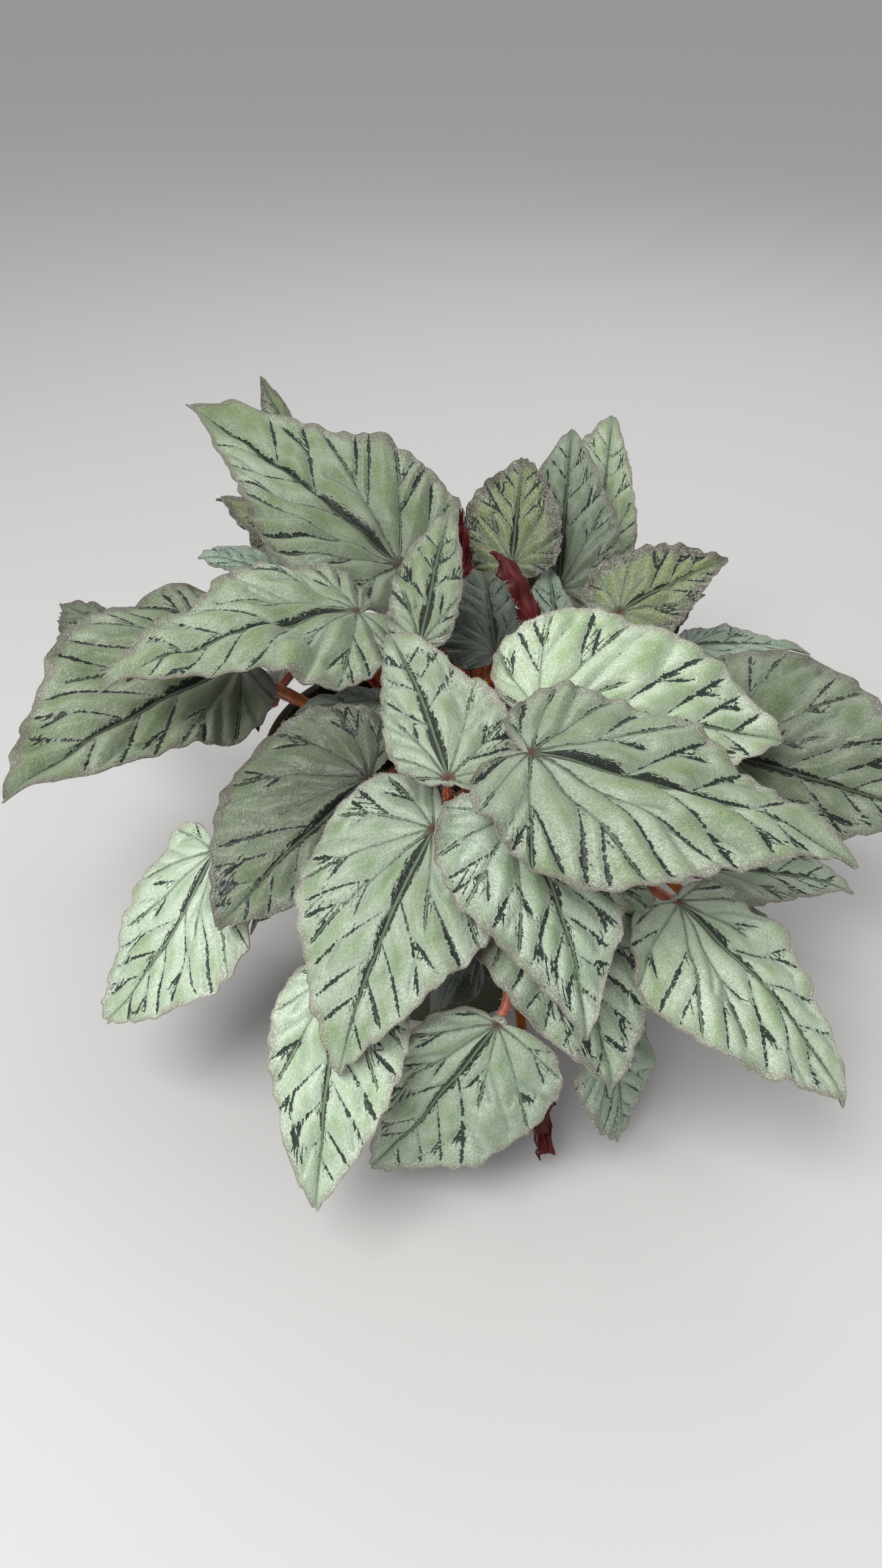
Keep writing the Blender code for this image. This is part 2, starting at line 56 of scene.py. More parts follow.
# Reference view: the eye in metres, its downward pitch, and the lens in picture elements
EYE = np.array((0.002, -0.441, 0.446))
PITCH_DEG = 38.0
LENS_PX = 1930.0
PICTURE_PX = (1445, 2569)
VIEW_CENTRE_PX = (722.5, 1284.5)
SENSOR_MM = 36.0

# Pot and soil, in millimetres, as in the solid model
POT_HEIGHT = 125.0
POT_RIM_RADIUS = 80.0
POT_BASE_RADIUS = 60.0
POT_WALL = 2.2
POT_FLOOR = 3.0
LIP_HEIGHT = 14.0
LIP_STEP = 3.0
DRAIN_HOLES = 5
DRAIN_RADIUS = 4.5
DRAIN_CIRCLE = 38.0
CLEARANCE = 0.3
SOIL_TOP = 111.0
SOIL_MOUND = 4.0
SOIL_FLAT_RADIUS = 20.0
SOIL_RINGS = 46
SOIL_SIDES = 160
SOIL_LEAST_RADIUS = 0.6
# Lumps of the soil: wavelengths in metres and how strong each is
SOIL_LUMPS = ((0.012, 1.0), (0.005, 0.8))
# Bend in degrees that makes a sharp edge
POT_SHARP_DEG = 35.0
SOIL_SHARP_DEG = 50.0

# Rhizome, in millimetres and as shares: its arms rise and taper outward, and swell and narrow
# at the scars of old leaves
RHIZOME_RADIUS = 7.0
RHIZOME_ARM = 42.0
RHIZOME_TIP = 6.0
RHIZOME_ARMS = 6
RHIZOME_STEPS = 40
RHIZOME_SIDES = 20
RHIZOME_RISE = 0.03
RHIZOME_TAPER = 0.45
RHIZOME_SHRINK = 0.93
RHIZOME_RED = 0.75
ARM_TURN = 4.0
SCAR_SPACING = 4.0
SCAR_HEIGHT = 0.07
SCARS_A_TURN = 40

# Stalks, in millimetres, and the shares that shape their curve
STALK_ROOT_SHARE = 0.34
STALK_OUTWARD = 0.8
STALK_RISE_SHARE = 0.4
STALK_SWEEP_SHARE = 0.3
STALK_SWEEP = 20.0
STALK_NECK = 5.0
STALK_END_DEPTH = 1.1
STALK_STEPS = 26
STALK_SIDES = 12
NECK_TAPER = (1.0, 0.95, 0.8, 0.45)
STALK_REDS = (0.1, 0.9)
SALMON_STALKS = ("bottom_centre", "bottom_right", "right_hanging")
SALMON = 0.9
RIM_PASS_HEIGHT = 6.5
RIM_PASS_REACH = 7.0
RIM_LIFT = 3.0
RIM_LIFTS = 30
RIM_LOOK_STEPS = 40

# Hairs: how far they scatter from straight out, the range of their lengths, how deep in
# metres a margin's hairs root, and the steps of a stalk that stay bare by the rhizome
MARGIN_HAIR_SCATTER = 0.55
MARGIN_HAIR_LENGTHS = (0.5, 1.2)
MARGIN_HAIR_ROOT = 0.0003
STALK_HAIR_SCATTER = 0.3
STALK_HAIR_LENGTHS = (0.5, 1.1)
STALK_BARE_STEPS = 6

# Form of the blades, as shares of a blade's length, as in the solid model; the least reach
# behind the joint is in millimetres
WIDE = 0.66
NARROW = 0.54
LOBE_FALL = 0.85
LOBE_FALL_RISE = 2.5
LEAST_FALL = 0.5
SINUS_REACH = 3.5
MARGIN_CROWDING = 1.6
RUFFLES_A_SIDE = 3.5
RUFFLED_REACH = 0.3
DROOP_REACH = 0.4

# Finer form of the blades. Points of the grid for each cell of length, across and outward,
# and their least numbers
GRID_COLUMNS, LEAST_COLUMNS = 1.7, 30
GRID_RINGS, LEAST_RINGS = 0.72, 12
# Round lobes of the margin: depth as a share of the reach, mean height, bluntness, and how far
# each half's are shifted. Teeth: the length in metres at which a blade has half of them, and
# how much deeper a red blade's are. The turn in degrees over which the tip stays calm
LOBE_DEPTH, LOBE_MEAN, LOBE_BLUNTNESS, LOBE_SHIFT = 0.024, 0.75, 0.7, 0.4
TEETH_LENGTH = 0.05
RED_TEETH = 4.0
TIP_CALM_DEG = 15.0
# Swellings between the veins: steepness, and the mean height, which is taken off so that they
# stay about the solid's surface; their strength on a very small blade, the length in metres
# that adds a whole one, and the greatest; how much more a young blade has; and the reach in
# metres over which they rise from the joint
PILLOW_POWER = 1.5
MEAN_PILLOW = 0.6
LEAST_SWELL, SWELL_LENGTH, MOST_SWELL = 0.3, 0.15, 1.2
YOUNG_SWELL = 0.7
CALM_REACH = 0.02
# Wrinkles: height as a share of the swellings, and wavelength in metres; the number of
# waves in a random surface, and the range of their wavelengths
WRINKLES = (0.9, 0.03)
RED_WRINKLES = (4.0, 0.012)
WAVES = 6
WAVE_SPREAD = (0.7, 1.4)
# Bend in degrees that makes a sharp edge, on blades and stalks
SHARP_DEG = 60.0

# Veins: the angles in degrees at which the main ones leave the joint; shares of the length
# where side veins leave the midrib, and their headings; where the others fork, as a share
# of their length, and by how many degrees
VEIN_ANGLES = (25.0, 52.0, 84.0, 120.0, 152.0)
RIB_SEEDS = (0.27, 0.44, 0.60, 0.75)
RIB_SEED_HEADINGS = (42.0, 41.0, 39.0, 37.0)
MAIN_FORKS = ((0.42, 30.0), (0.64, 28.0), (0.55, -26.0))
SIDE_FORKS = ((0.45, 27.0), (0.6, -26.0))
# How far the side veins of one half are ahead, and the random scatter of seeds, angles, forks
RIB_STAGGER = 0.07
RIB_SCATTER, ANGLE_SCATTER, FORK_SCATTER = 0.02, 4.0, 0.05
# Degrees by which veins close towards the tip in a blade length; a main one by a share of its
# angle; the least heading, and the last angle as a share of the blade's closing
MAIN_CLOSING, SIDE_CLOSING, FORK_CLOSING = 0.32, 34.0, 26.0
LEAST_HEADING = 5.0
LAST_VEIN = 0.9
# Step of a vein in millimetres; its greatest and least length as shares of the blade's; its
# fewest points; and where it ends between the joint (0) and the margin (1)
VEIN_STEP = 3.0
LONGEST_VEIN, SHORTEST_VEIN = 0.8, 0.12
FEWEST_POINTS = 4
VEIN_END = 0.965
# Least distance between veins: in millimetres on a large blade; in metres on a small one, with
# its rise with the length; its rise along a vein after the fork; and the slack in metres
VEIN_CLEARANCE = 6.5
SMALL_CLEARANCE, CLEARANCE_RISE = 0.0025, 0.04
LEAVING_RISE = 0.36
CLEARANCE_SLACK = 0.0002
# Ranks that tell the midrib from main and other veins
RIB_RANK, MAIN_RANK, SIDE_RANK = 2.0, 1.0, 0.0

# Half width in millimetres of the dark stroke, at shares of the vein's length: along the
# midrib, a main vein and any other one
RIB_POINTS = 60
RIB_STROKE = ((0.0, 0.04, 0.1, 0.28, 0.36, 0.45, 0.58, 0.72, 0.88, 1.0),
              (0.8, 2.3, 3.0, 3.0, 2.3, 1.8, 1.4, 0.8, 0.2, -0.4))
MAIN_STROKE = ((0.0, 0.1, 0.3, 0.45, 0.6, 0.75, 0.96, 1.0),
               (1.1, 0.6, 0.35, 0.2, 0.35, 0.75, 0.85, 0.4))
SIDE_STROKE = ((0.0, 0.15, 0.35, 0.6, 0.96, 1.0), (0.25, 0.15, 0.45, 0.8, 0.9, 0.4))
RIB_STRENGTHS = (0.85, 1.15)
STROKE_STRENGTHS = (0.75, 1.25)
# Share of the forks that stay bare, and what that takes off their half width
BARE_FORKS, BARE = 0.4, 1.0
# Strength of the strokes on a very small blade, and the length in metres that adds a whole one
SMALL_STROKE, STROKE_LENGTH = 0.35, 0.16

# Starts of the random draws
SOIL_SEED, STALK_SEED, HAIR_SEED = 3, 11, 5

# Stage, in metres: half the floor's side, the lamps with their shares of the key light's
# power, their size and where they point, and how near the camera sees
FLOOR_REACH = 12.0
LAMPS = (("key", (-0.45, -0.75, 1.3), 1.0), ("back", (0.4, 0.9, 1.1), 0.2))
LAMP_SIZE = 0.8
LAMP_AIM = np.array((0.0, 0.0, 0.12))
NEAREST_SEEN = 0.01

# left, right: how full each half is, as a share of the length; taper: degrees over which the
# tip narrows; closing: degrees at which the basal lobes end; fold: how far the halves rise
# from the midrib; droop: how far they fall again towards the margin; sickle: sideways bow of
# the midrib; lean: how far the stalk leans back where it meets the blade. Angles in degrees.
# tone: how young (yellow-green) and how bluish the blade is, how much painted shade darkens its
# colour (under 0: painted light makes it brighter than most), and how full its strokes are.
Blade = namedtuple("Blade", "name joint tip left right taper closing width roll fold droop "
                            "arch twist ruffle sickle lean tone",
                   defaults=(WIDE, NARROW, 12.0, 185.0, 1.0, 0.0, 12.0, 35.0,
                             35.0, 0.0, 0.02, 0.0, 20.0, (0.0, 0.0, 0.1, 1.0)))
# Low blades that hang, and those behind
HANGING = {"closing": 150, "lean": 60}
BEHIND = {"closing": 150, "lean": 50}


def sight(across_px, down_px, height_mm):
    """Point at a height on the sight line through one point of the reference view."""
    pitch = math.radians(PITCH_DEG)
    ahead = np.array((0.0, math.cos(pitch), -math.sin(pitch)))
    down = np.array((0.0, -math.sin(pitch), -math.cos(pitch)))
    right = np.array((1.0, 0.0, 0.0))
    u = (across_px - VIEW_CENTRE_PX[0]) / LENS_PX
    v = (down_px - VIEW_CENTRE_PX[1]) / LENS_PX
    ray = ahead + u * right + v * down
    return EYE + ray * (height_mm * MM - EYE[2]) / ray[2]


def plan(azimuth_deg, reach_mm, height_mm):
    """Point at a reach from the pot's axis, azimuth counted from +X towards +Y."""
    turn = math.radians(azimuth_deg)
    return MM * np.array((reach_mm * math.cos(turn), reach_mm * math.sin(turn), height_mm))


BLADES = (
    # Front and right
    Blade("right_front_top", sight(870, 1233, 195), sight(1418, 1416, 152), 0.52, 0.64, 10,
          roll=-10, arch=30, tone=(0.15, 0, 0.2, 1)),
    Blade("front_centre", sight(710, 1358, 164), sight(550, 1766, 95), 0.63, 0.70, 15, arch=40,
          tone=(0, 0, 0.1, 1)),
    Blade("front_right", sight(842, 1335, 178), sight(961, 1706, 118), 0.62, 0.66, 14, arch=30,
          sickle=0.05, tone=(0, 0.1, 0.02, 0.9)),
    Blade("front_right_under", sight(895, 1400, 150), sight(1007, 1782, 84), 0.66, 0.66, 22,
          arch=30, tone=(0.1, 0.1, 0.1, 0.8)),
    Blade("right_hanging", sight(1112, 1478, 128), sight(1393, 1813, 70), 0.50, 0.72, 16, 140,
          arch=35, lean=60, tone=(0.05, 0, -0.06, 0.7)),
    Blade("right_behind_hanging", sight(1180, 1500, 98), sight(1325, 1640, 58), **HANGING),
    Blade("right_low", sight(1160, 1425, 106), sight(1403, 1460, 88), 0.76, 0.6, **HANGING),
    Blade("right_gap", sight(1020, 1420, 108), sight(1085, 1540, 64), width=0.8, **HANGING,
          tone=(0, 0.6, 0.45, 0.9)),
    Blade("right_middle", sight(883, 1170, 174), sight(1286, 1214, 150), 0.68, 0.54, 18,
          roll=-35, fold=15, tone=(0.1, 0, -0.2, 1)),
    Blade("right_far", sight(1190, 1235, 132), sight(1530, 1340, 116), 0.82, 0.60, 18,
          roll=-45, fold=15, tone=(0.25, 0, 0.44, 1)),
    Blade("right_back_flat", sight(1125, 1060, 130), sight(1330, 1070, 124), 0.46, 0.5,
          lean=45, tone=(0, 0.3, 0.2, 0.8)),
    Blade("right_crumpled", sight(1075, 1040, 145), sight(1155, 969, 158), width=0.8,
          tone=(0.7, 0.1, 0.25, 0.8)),
    Blade("right_back_young", sight(1015, 1002, 162), sight(1197, 911, 178), 0.70, 0.60,
          roll=-25, tone=(0.8, 0, 0.2, 0.9)),
    # Back
    Blade("back_tall_light", sight(975, 935, 142), sight(1005, 677, 195), 0.66, 0.42,
          **HANGING, tone=(0.35, 0, 0, 0.5)),
    Blade("back_tall_dark", sight(915, 965, 148), sight(938, 699, 207), 0.56, 0.56, 16,
          tone=(0.15, 0.1, 0.42, 0.7)),
    Blade("centre_back_young", sight(838, 925, 167), sight(858, 745, 204), 0.64, 0.56, 24,
          width=1.1, tone=(0.8, 0, 0.28, 1)),
    Blade("folded_red_left", sight(758, 965, 163), sight(755, 837, 193), 0.3, 0.3),
    Blade("folded_red_right", sight(873, 1022, 169), sight(806, 890, 198), 0.36, 0.34),
    Blade("centre_teal", sight(910, 1030, 148), sight(898, 925, 160), width=0.8, closing=140,
          tone=(0, 0.5, 0.2, 0.9)),
    Blade("centre_dark", sight(812, 1069, 162), sight(790, 930, 172), 0.62, 0.32, 22,
          tone=(0.1, 0.2, 0.6, 1)),
    Blade("centre_top_small", sight(688, 1057, 184), sight(738, 835, 208), 0.36, 0.30, 16,
          lean=40, tone=(0.3, 0, 0.2, 1)),
    Blade("back_left_large", sight(654, 925, 168), sight(305, 660, 220), 0.60, 0.58, 10,
          roll=12, fold=25, droop=25, sickle=0.03, tone=(0.25, 0, 0.32, 1)),
    Blade("back_left_hidden", sight(484, 760, 190), sight(427, 615, 224), 0.5, 0.36, tone=(0.7,
          0, 0.35, 0.8)),
    Blade("back_left_under", sight(612, 945, 144), sight(353, 814, 168), 0.72, 0.5,
          closing=140, lean=40, tone=(0.8, 0, 0.4, 0.9)),
    # Left
    Blade("left_wave", sight(585, 1001, 180), sight(153, 1128, 180), 0.60, 0.58, roll=12,
          ruffle=0.035, tone=(0.25, 0, 0.22, 0.8)),
    Blade("left_curled", sight(450, 942, 166), sight(323, 912, 168), 0.5, 0.9, 22, tone=(0,
          0.5, 0.1, 0.5)),
    Blade("far_left_small", sight(205, 1060, 122), sight(100, 985, 122), width=0.9, tone=(0.6,
          0.2, 0.45, 0.6)),
    Blade("left_ruffled", sight(395, 1085, 150), sight(0, 1310, 134), 0.54, 0.76, 12, 160,
          roll=25, ruffle=0.035, tone=(0.3, 0, 0.41, 1)),
    Blade("left_bluish", sight(620, 1150, 152), sight(480, 1170, 142), tone=(0, 0.5, 0.25,
          0.4)),
    Blade("left_grey", sight(440, 1150, 112), sight(420, 1196, 88), width=0.8, **HANGING,
          tone=(0, 0.3, 0.4, 0.6)),
    Blade("left_middle", sight(605, 1274, 160), sight(355, 1523, 118), 0.56, 0.78, 20, roll=25,
          tone=(0.3, 0, 0.52, 1)),
    Blade("left_pale", sight(351, 1395, 121), sight(172, 1675, 60), 0.74, 0.70, 20, 125,
          sickle=0.12, lean=60, tone=(0, 0.05, -0.2, 0.8)),
    Blade("left_under_middle", sight(520, 1400, 128), sight(405, 1530, 90), width=0.8,
          **HANGING, tone=(0.1, 0.2, 0.4, 0.8)),
    Blade("centre_middle", sight(734, 1275, 184), sight(636, 1031, 194), 0.45, 0.62,
          closing=150, tone=(0.1, 0, 0.1, 1)),
    Blade("centre_shade", sight(822, 1185, 147), sight(768, 1140, 146), tone=(0.3, 0.5, 0.6,
          0.6)),
    # Low in front
    Blade("front_left_hanging", sight(560, 1590, 117), sight(517, 1985, 46), 0.60, 0.52, 18,
          140, lean=60, tone=(0, 0.05, -0.25, 0.9)),
    Blade("bottom_centre", sight(815, 1678, 100), sight(606, 1915, 18), 0.75, 0.60, 12, 115,
          roll=70, lean=55, tone=(0.1, 0.1, 0.06, 0.75)),
    Blade("bottom_right", sight(1000, 1690, 80), sight(1014, 1864, 20), 0.62, 0.66, 25, 150,
          lean=70, tone=(0.1, 0.3, 0.15, 0.5)),
    Blade("front_gap", sight(800, 1550, 98), sight(700, 1665, 56), closing=150, lean=70,
          tone=(0.1, 0.5, 0.5, 0.4)),
    Blade("bottom_curl", sight(870, 1760, 58), sight(888, 1902, 12), 0.3, 0.3, closing=140,
          lean=70),
    # Behind, out of sight of the reference view
    Blade("behind_right", plan(16, 114, 118), plan(13, 180, 62), **BEHIND),
    Blade("behind_right_low", plan(40, 114, 116), plan(37, 180, 52), **BEHIND),
    Blade("behind_right_back", plan(67, 116, 122), plan(68, 188, 80), **BEHIND),
    Blade("behind_back", plan(88, 114, 116), plan(88, 182, 50), 0.72, 0.72, **BEHIND),
    Blade("behind_left_back", plan(110, 116, 120), plan(112, 188, 76), **BEHIND),
    Blade("behind_left_low", plan(130, 114, 114), plan(134, 178, 50), **BEHIND),
    Blade("behind_left", plan(154, 114, 126), plan(154, 178, 86), **BEHIND),
)
RED_BLADES = ("folded_red_left", "folded_red_right", "bottom_curl")


def linear(hex_colour):
    """Linear colour from an sRGB hex value."""
    value = [int(hex_colour[i:i + 2], 16) / 255 for i in (1, 3, 5)]
    return tuple(v / 12.92 if v <= 0.04045 else ((v + 0.055) / 1.055) ** 2.4 for v in value)


def unit(vectors):
    """Vectors of length one."""
    return vectors / np.linalg.norm(vectors, axis=-1, keepdims=True)


def blade_frame(blade):
    """Axes of a blade: along its chord, to its left, and out of its face; and its length."""
    chord = blade.tip - blade.joint
    along = unit(chord)
    face = unit(np.array((0.0, 0.0, 1.0)) - along[2] * along)
    left = np.cross(face, along)
    roll = math.radians(blade.roll)
    face, left = (math.cos(roll) * face + math.sin(roll) * left,
                  math.cos(roll) * left - math.sin(roll) * face)
    half = math.radians(blade.arch) / 2
    length = np.linalg.norm(chord) * half / math.sin(half)
    return along, left, face, length


def half_outline(blade, body, turn_deg):
    """Share of the length from joint to margin: a rounded half that tapers to a fine tip.

    reach = body * (1 - turn / closing) ^ fall + (1 - body) * e ^ (-turn / taper)
    """
    fall = max(LOBE_FALL + LOBE_FALL_RISE * (WIDE - body), LEAST_FALL)
    lobe = body * np.clip(1 - turn_deg / blade.closing, 0, 1) ** fall
    reach = lobe + (1 - body) * np.exp(-turn_deg / blade.taper)
    return np.maximum(reach, SINUS_REACH * MM / blade_frame(blade)[3])


def arc_point(blade, length, x, y):
    """Place flat blade points on the blade's bent form, in the axes of its chord.

    The midrib is an arc that turns by arch from joint to tip and bows sideways by sickle.
    Across it each half rises at fold from the midrib, then curves down by droop over
    DROOP_REACH of the length. The cross section turns by twist along the length.
    """
    arch = math.radians(blade.arch)
    start = arch / 2
    heading = start - arch * x / length
    bend = length / arch
    mid_x = bend * (math.sin(start) - np.sin(heading))
    mid_z = bend * (np.cos(heading) - math.cos(start))
    fold = math.radians(blade.fold)
    curve = math.radians(blade.droop) / (DROOP_REACH * length)
    slope = fold - curve * np.abs(y)
    across = np.sign(y) * (math.sin(fold) - np.sin(slope)) / curve
    rise = (np.cos(slope) - math.cos(fold)) / curve
    twist = math.radians(blade.twist) * x / length
    side = across * np.cos(twist) - rise * np.sin(twist)
    lift = across * np.sin(twist) + rise * np.cos(twist)
    bow = blade.sickle * length * np.sin(math.pi * np.clip(x / length, -0.3, 1.0))
    return mid_x - lift * np.sin(heading), side + bow, mid_z + lift * np.cos(heading)


def inside_share(blade, side, points, length):
    """How far flat points lie between the joint (0) and the margin (1)."""
    body = blade.left if side > 0 else blade.right
    flat_y = np.abs(points[..., 1]) / blade.width
    turn = np.degrees(np.arctan2(flat_y, points[..., 0]))
    reach = half_outline(blade, body, turn) * length
    return np.hypot(points[..., 0], flat_y) / reach


def run_until(good):
    """How many values come before the first false one."""
    return len(good) if good.all() else int(np.argmin(good))


def grow_vein(blade, side, origin, heading, closing):
    """One vein in flat blade points, from its origin to near the margin or the midrib.

    It sets out at heading degrees from the midrib's direction and turns towards the tip by
    closing degrees for each blade length that it grows.
    """
    length = blade_frame(blade)[3]
    t = np.arange(0, LONGEST_VEIN, VEIN_STEP * MM / length)
    turn = np.radians(np.maximum(heading - closing * t, LEAST_HEADING * np.sign(heading)))
    step = np.stack((np.cos(turn), np.sin(turn) * side), axis=1)
    path = origin + np.cumsum(step, axis=0) * VEIN_STEP * MM
    path = np.concatenate((origin[None, :], path))
    within = (inside_share(blade, side, path, length) < VEIN_END) & (path[:, 1] * side >= 0)
    within[0] = True
    count = run_until(within)
    return path[:count], np.degrees(np.concatenate((turn[:1], turn)))[:count]


def clear_points(path, taken, clearance):
    """How many points a vein has before it comes too near to the veins already there.

    The clearance grows from nothing with the distance from the vein that it leaves.
    """
    away = np.linalg.norm(path[:, None, :] - taken[None, :, :], axis=2).min(axis=1)
    grown = np.arange(len(path)) * VEIN_STEP * MM
    return run_until(away >= np.minimum(clearance, LEAVING_RISE * grown) - CLEARANCE_SLACK)


def stroke(path, main, fork, strength, draw):
    """A vein's path with the half widths of its dark stroke, and its rank.

    A main vein is dark close to the joint and again towards the margin, any other one only
    towards the margin; some of the forks carry no stroke at all.
    """
    wide = np.interp(np.linspace(0, 1, len(path)), *(MAIN_STROKE if main else SIDE_STROKE))
    wide = wide * draw.uniform(*STROKE_STRENGTHS) * strength
    if fork and draw.uniform() < BARE_FORKS:
        wide = wide - BARE
    return path, wide, MAIN_RANK if main else SIDE_RANK


def half_veins(blade, side, draw):
    """Veins of one half: paths in flat blade points, half widths of their strokes, and ranks.

    The midrib is straight. Main veins fan out from the joint, side veins leave the midrib
    and the main veins, and each forks once more before the margin. A vein ends where it comes
    too near to another one.
    """
    length = blade_frame(blade)[3]
    strength = min(1.0, SMALL_STROKE + length / STROKE_LENGTH) * blade.tone[3]
    share = np.linspace(0, 1, RIB_POINTS)
    taken = np.stack((share * length, 0 * share), axis=1)
    rib_strength = draw.uniform(*RIB_STRENGTHS) * strength
    lines = [(taken, rib_strength * np.interp(share, *RIB_STROKE), RIB_RANK)]
    seeds, forks = [], []
    starts = (np.array(RIB_SEEDS) + RIB_STAGGER * (side < 0)
              + draw.uniform(-RIB_SCATTER, RIB_SCATTER, len(RIB_SEEDS)))
    for at, heading in zip(starts, RIB_SEED_HEADINGS):
        seeds.append((np.array((at * length, 0.0)), heading, SIDE_CLOSING, False))
    for angle in VEIN_ANGLES:
        if angle < LAST_VEIN * blade.closing:
            heading = angle + draw.uniform(-ANGLE_SCATTER, ANGLE_SCATTER)
            seeds.append((np.zeros(2), heading, MAIN_CLOSING * angle, True))
    clearance = min(VEIN_CLEARANCE * MM, SMALL_CLEARANCE + CLEARANCE_RISE * length)
    shortest = max(FEWEST_POINTS, SHORTEST_VEIN * length / (VEIN_STEP * MM))
    for origin, heading, closing, main in seeds:
        path, turns = grow_vein(blade, side, origin, heading, closing)
        path = path[:clear_points(path, taken, clearance)]
        if len(path) < shortest:
            continue
        taken = np.concatenate((taken, path))
        lines.append(stroke(path, main, False, strength, draw))
        for at, off in MAIN_FORKS if main else SIDE_FORKS:
            index = int((at + draw.uniform(-FORK_SCATTER, FORK_SCATTER)) * len(path))
            forks.append((path[index], turns[index] + off))
    for origin, heading in forks:
        path, _ = grow_vein(blade, side, origin, heading, FORK_CLOSING)
        path = path[:clear_points(path, taken, clearance)]
        if len(path) >= shortest:
            taken = np.concatenate((taken, path))
            lines.append(stroke(path, False, True, strength, draw))
    return lines


def vein_fields(points, lines):
    """For each point the signed and the plain distance to the nearest vein, the half width
    of the stroke there and the vein's rank.

    distance = |p - (a + s (b - a))| with s the foot on a segment, kept between 0 and 1; its
    sign says on which side of the segment the point lies, so that a stroke's edge runs true
    between points that are further apart than the stroke is wide.
    """
    start = np.concatenate([line[0][:-1] for line in lines]).astype(np.float32)
    end = np.concatenate([line[0][1:] for line in lines]).astype(np.float32)
    wide_a = np.concatenate([line[1][:-1] for line in lines])
    wide_b = np.concatenate([line[1][1:] for line in lines])
    rank = np.concatenate([np.full(len(line[0]) - 1, line[2]) for line in lines])
    step = end - start
    square = np.maximum((step ** 2).sum(axis=1), 1e-12)
    away = points.astype(np.float32)[:, None, :] - start[None, :, :]
    foot = np.clip((away * step).sum(axis=2) / square, 0, 1)
    gap = np.linalg.norm(away - foot[:, :, None] * step, axis=2)
    nearest = gap.argmin(axis=1)
    row = np.arange(len(points))
    plain = gap[row, nearest]
    over = step[nearest, 0] * away[row, nearest, 1] - step[nearest, 1] * away[row, nearest, 0]
    foot = foot[row, nearest]
    wide = wide_a[nearest] * (1 - foot) + wide_b[nearest] * foot
    return np.where(over < 0, -plain, plain), plain, wide, rank[nearest]


def smooth_waves(points, wavelength, draw):
    """Gentle random waves: the mean of a few sines in random directions and phases."""
    total = np.zeros(points.shape[:-1])
    for _ in range(WAVES):
        turn, phase = draw.uniform(0, FULL_TURN, 2)
        pitch = FULL_TURN / (wavelength * draw.uniform(*WAVE_SPREAD))
        total += np.sin(pitch * (points[..., 0] * math.cos(turn)
                                 + points[..., 1] * math.sin(turn)) + phase)
    return total / WAVES


def field(at_joint, *grids):
    """Three values for each point of a face, as columns, those at the joint first."""
    return np.concatenate((np.array((at_joint,)), np.stack([g.ravel() for g in grids], axis=1)))


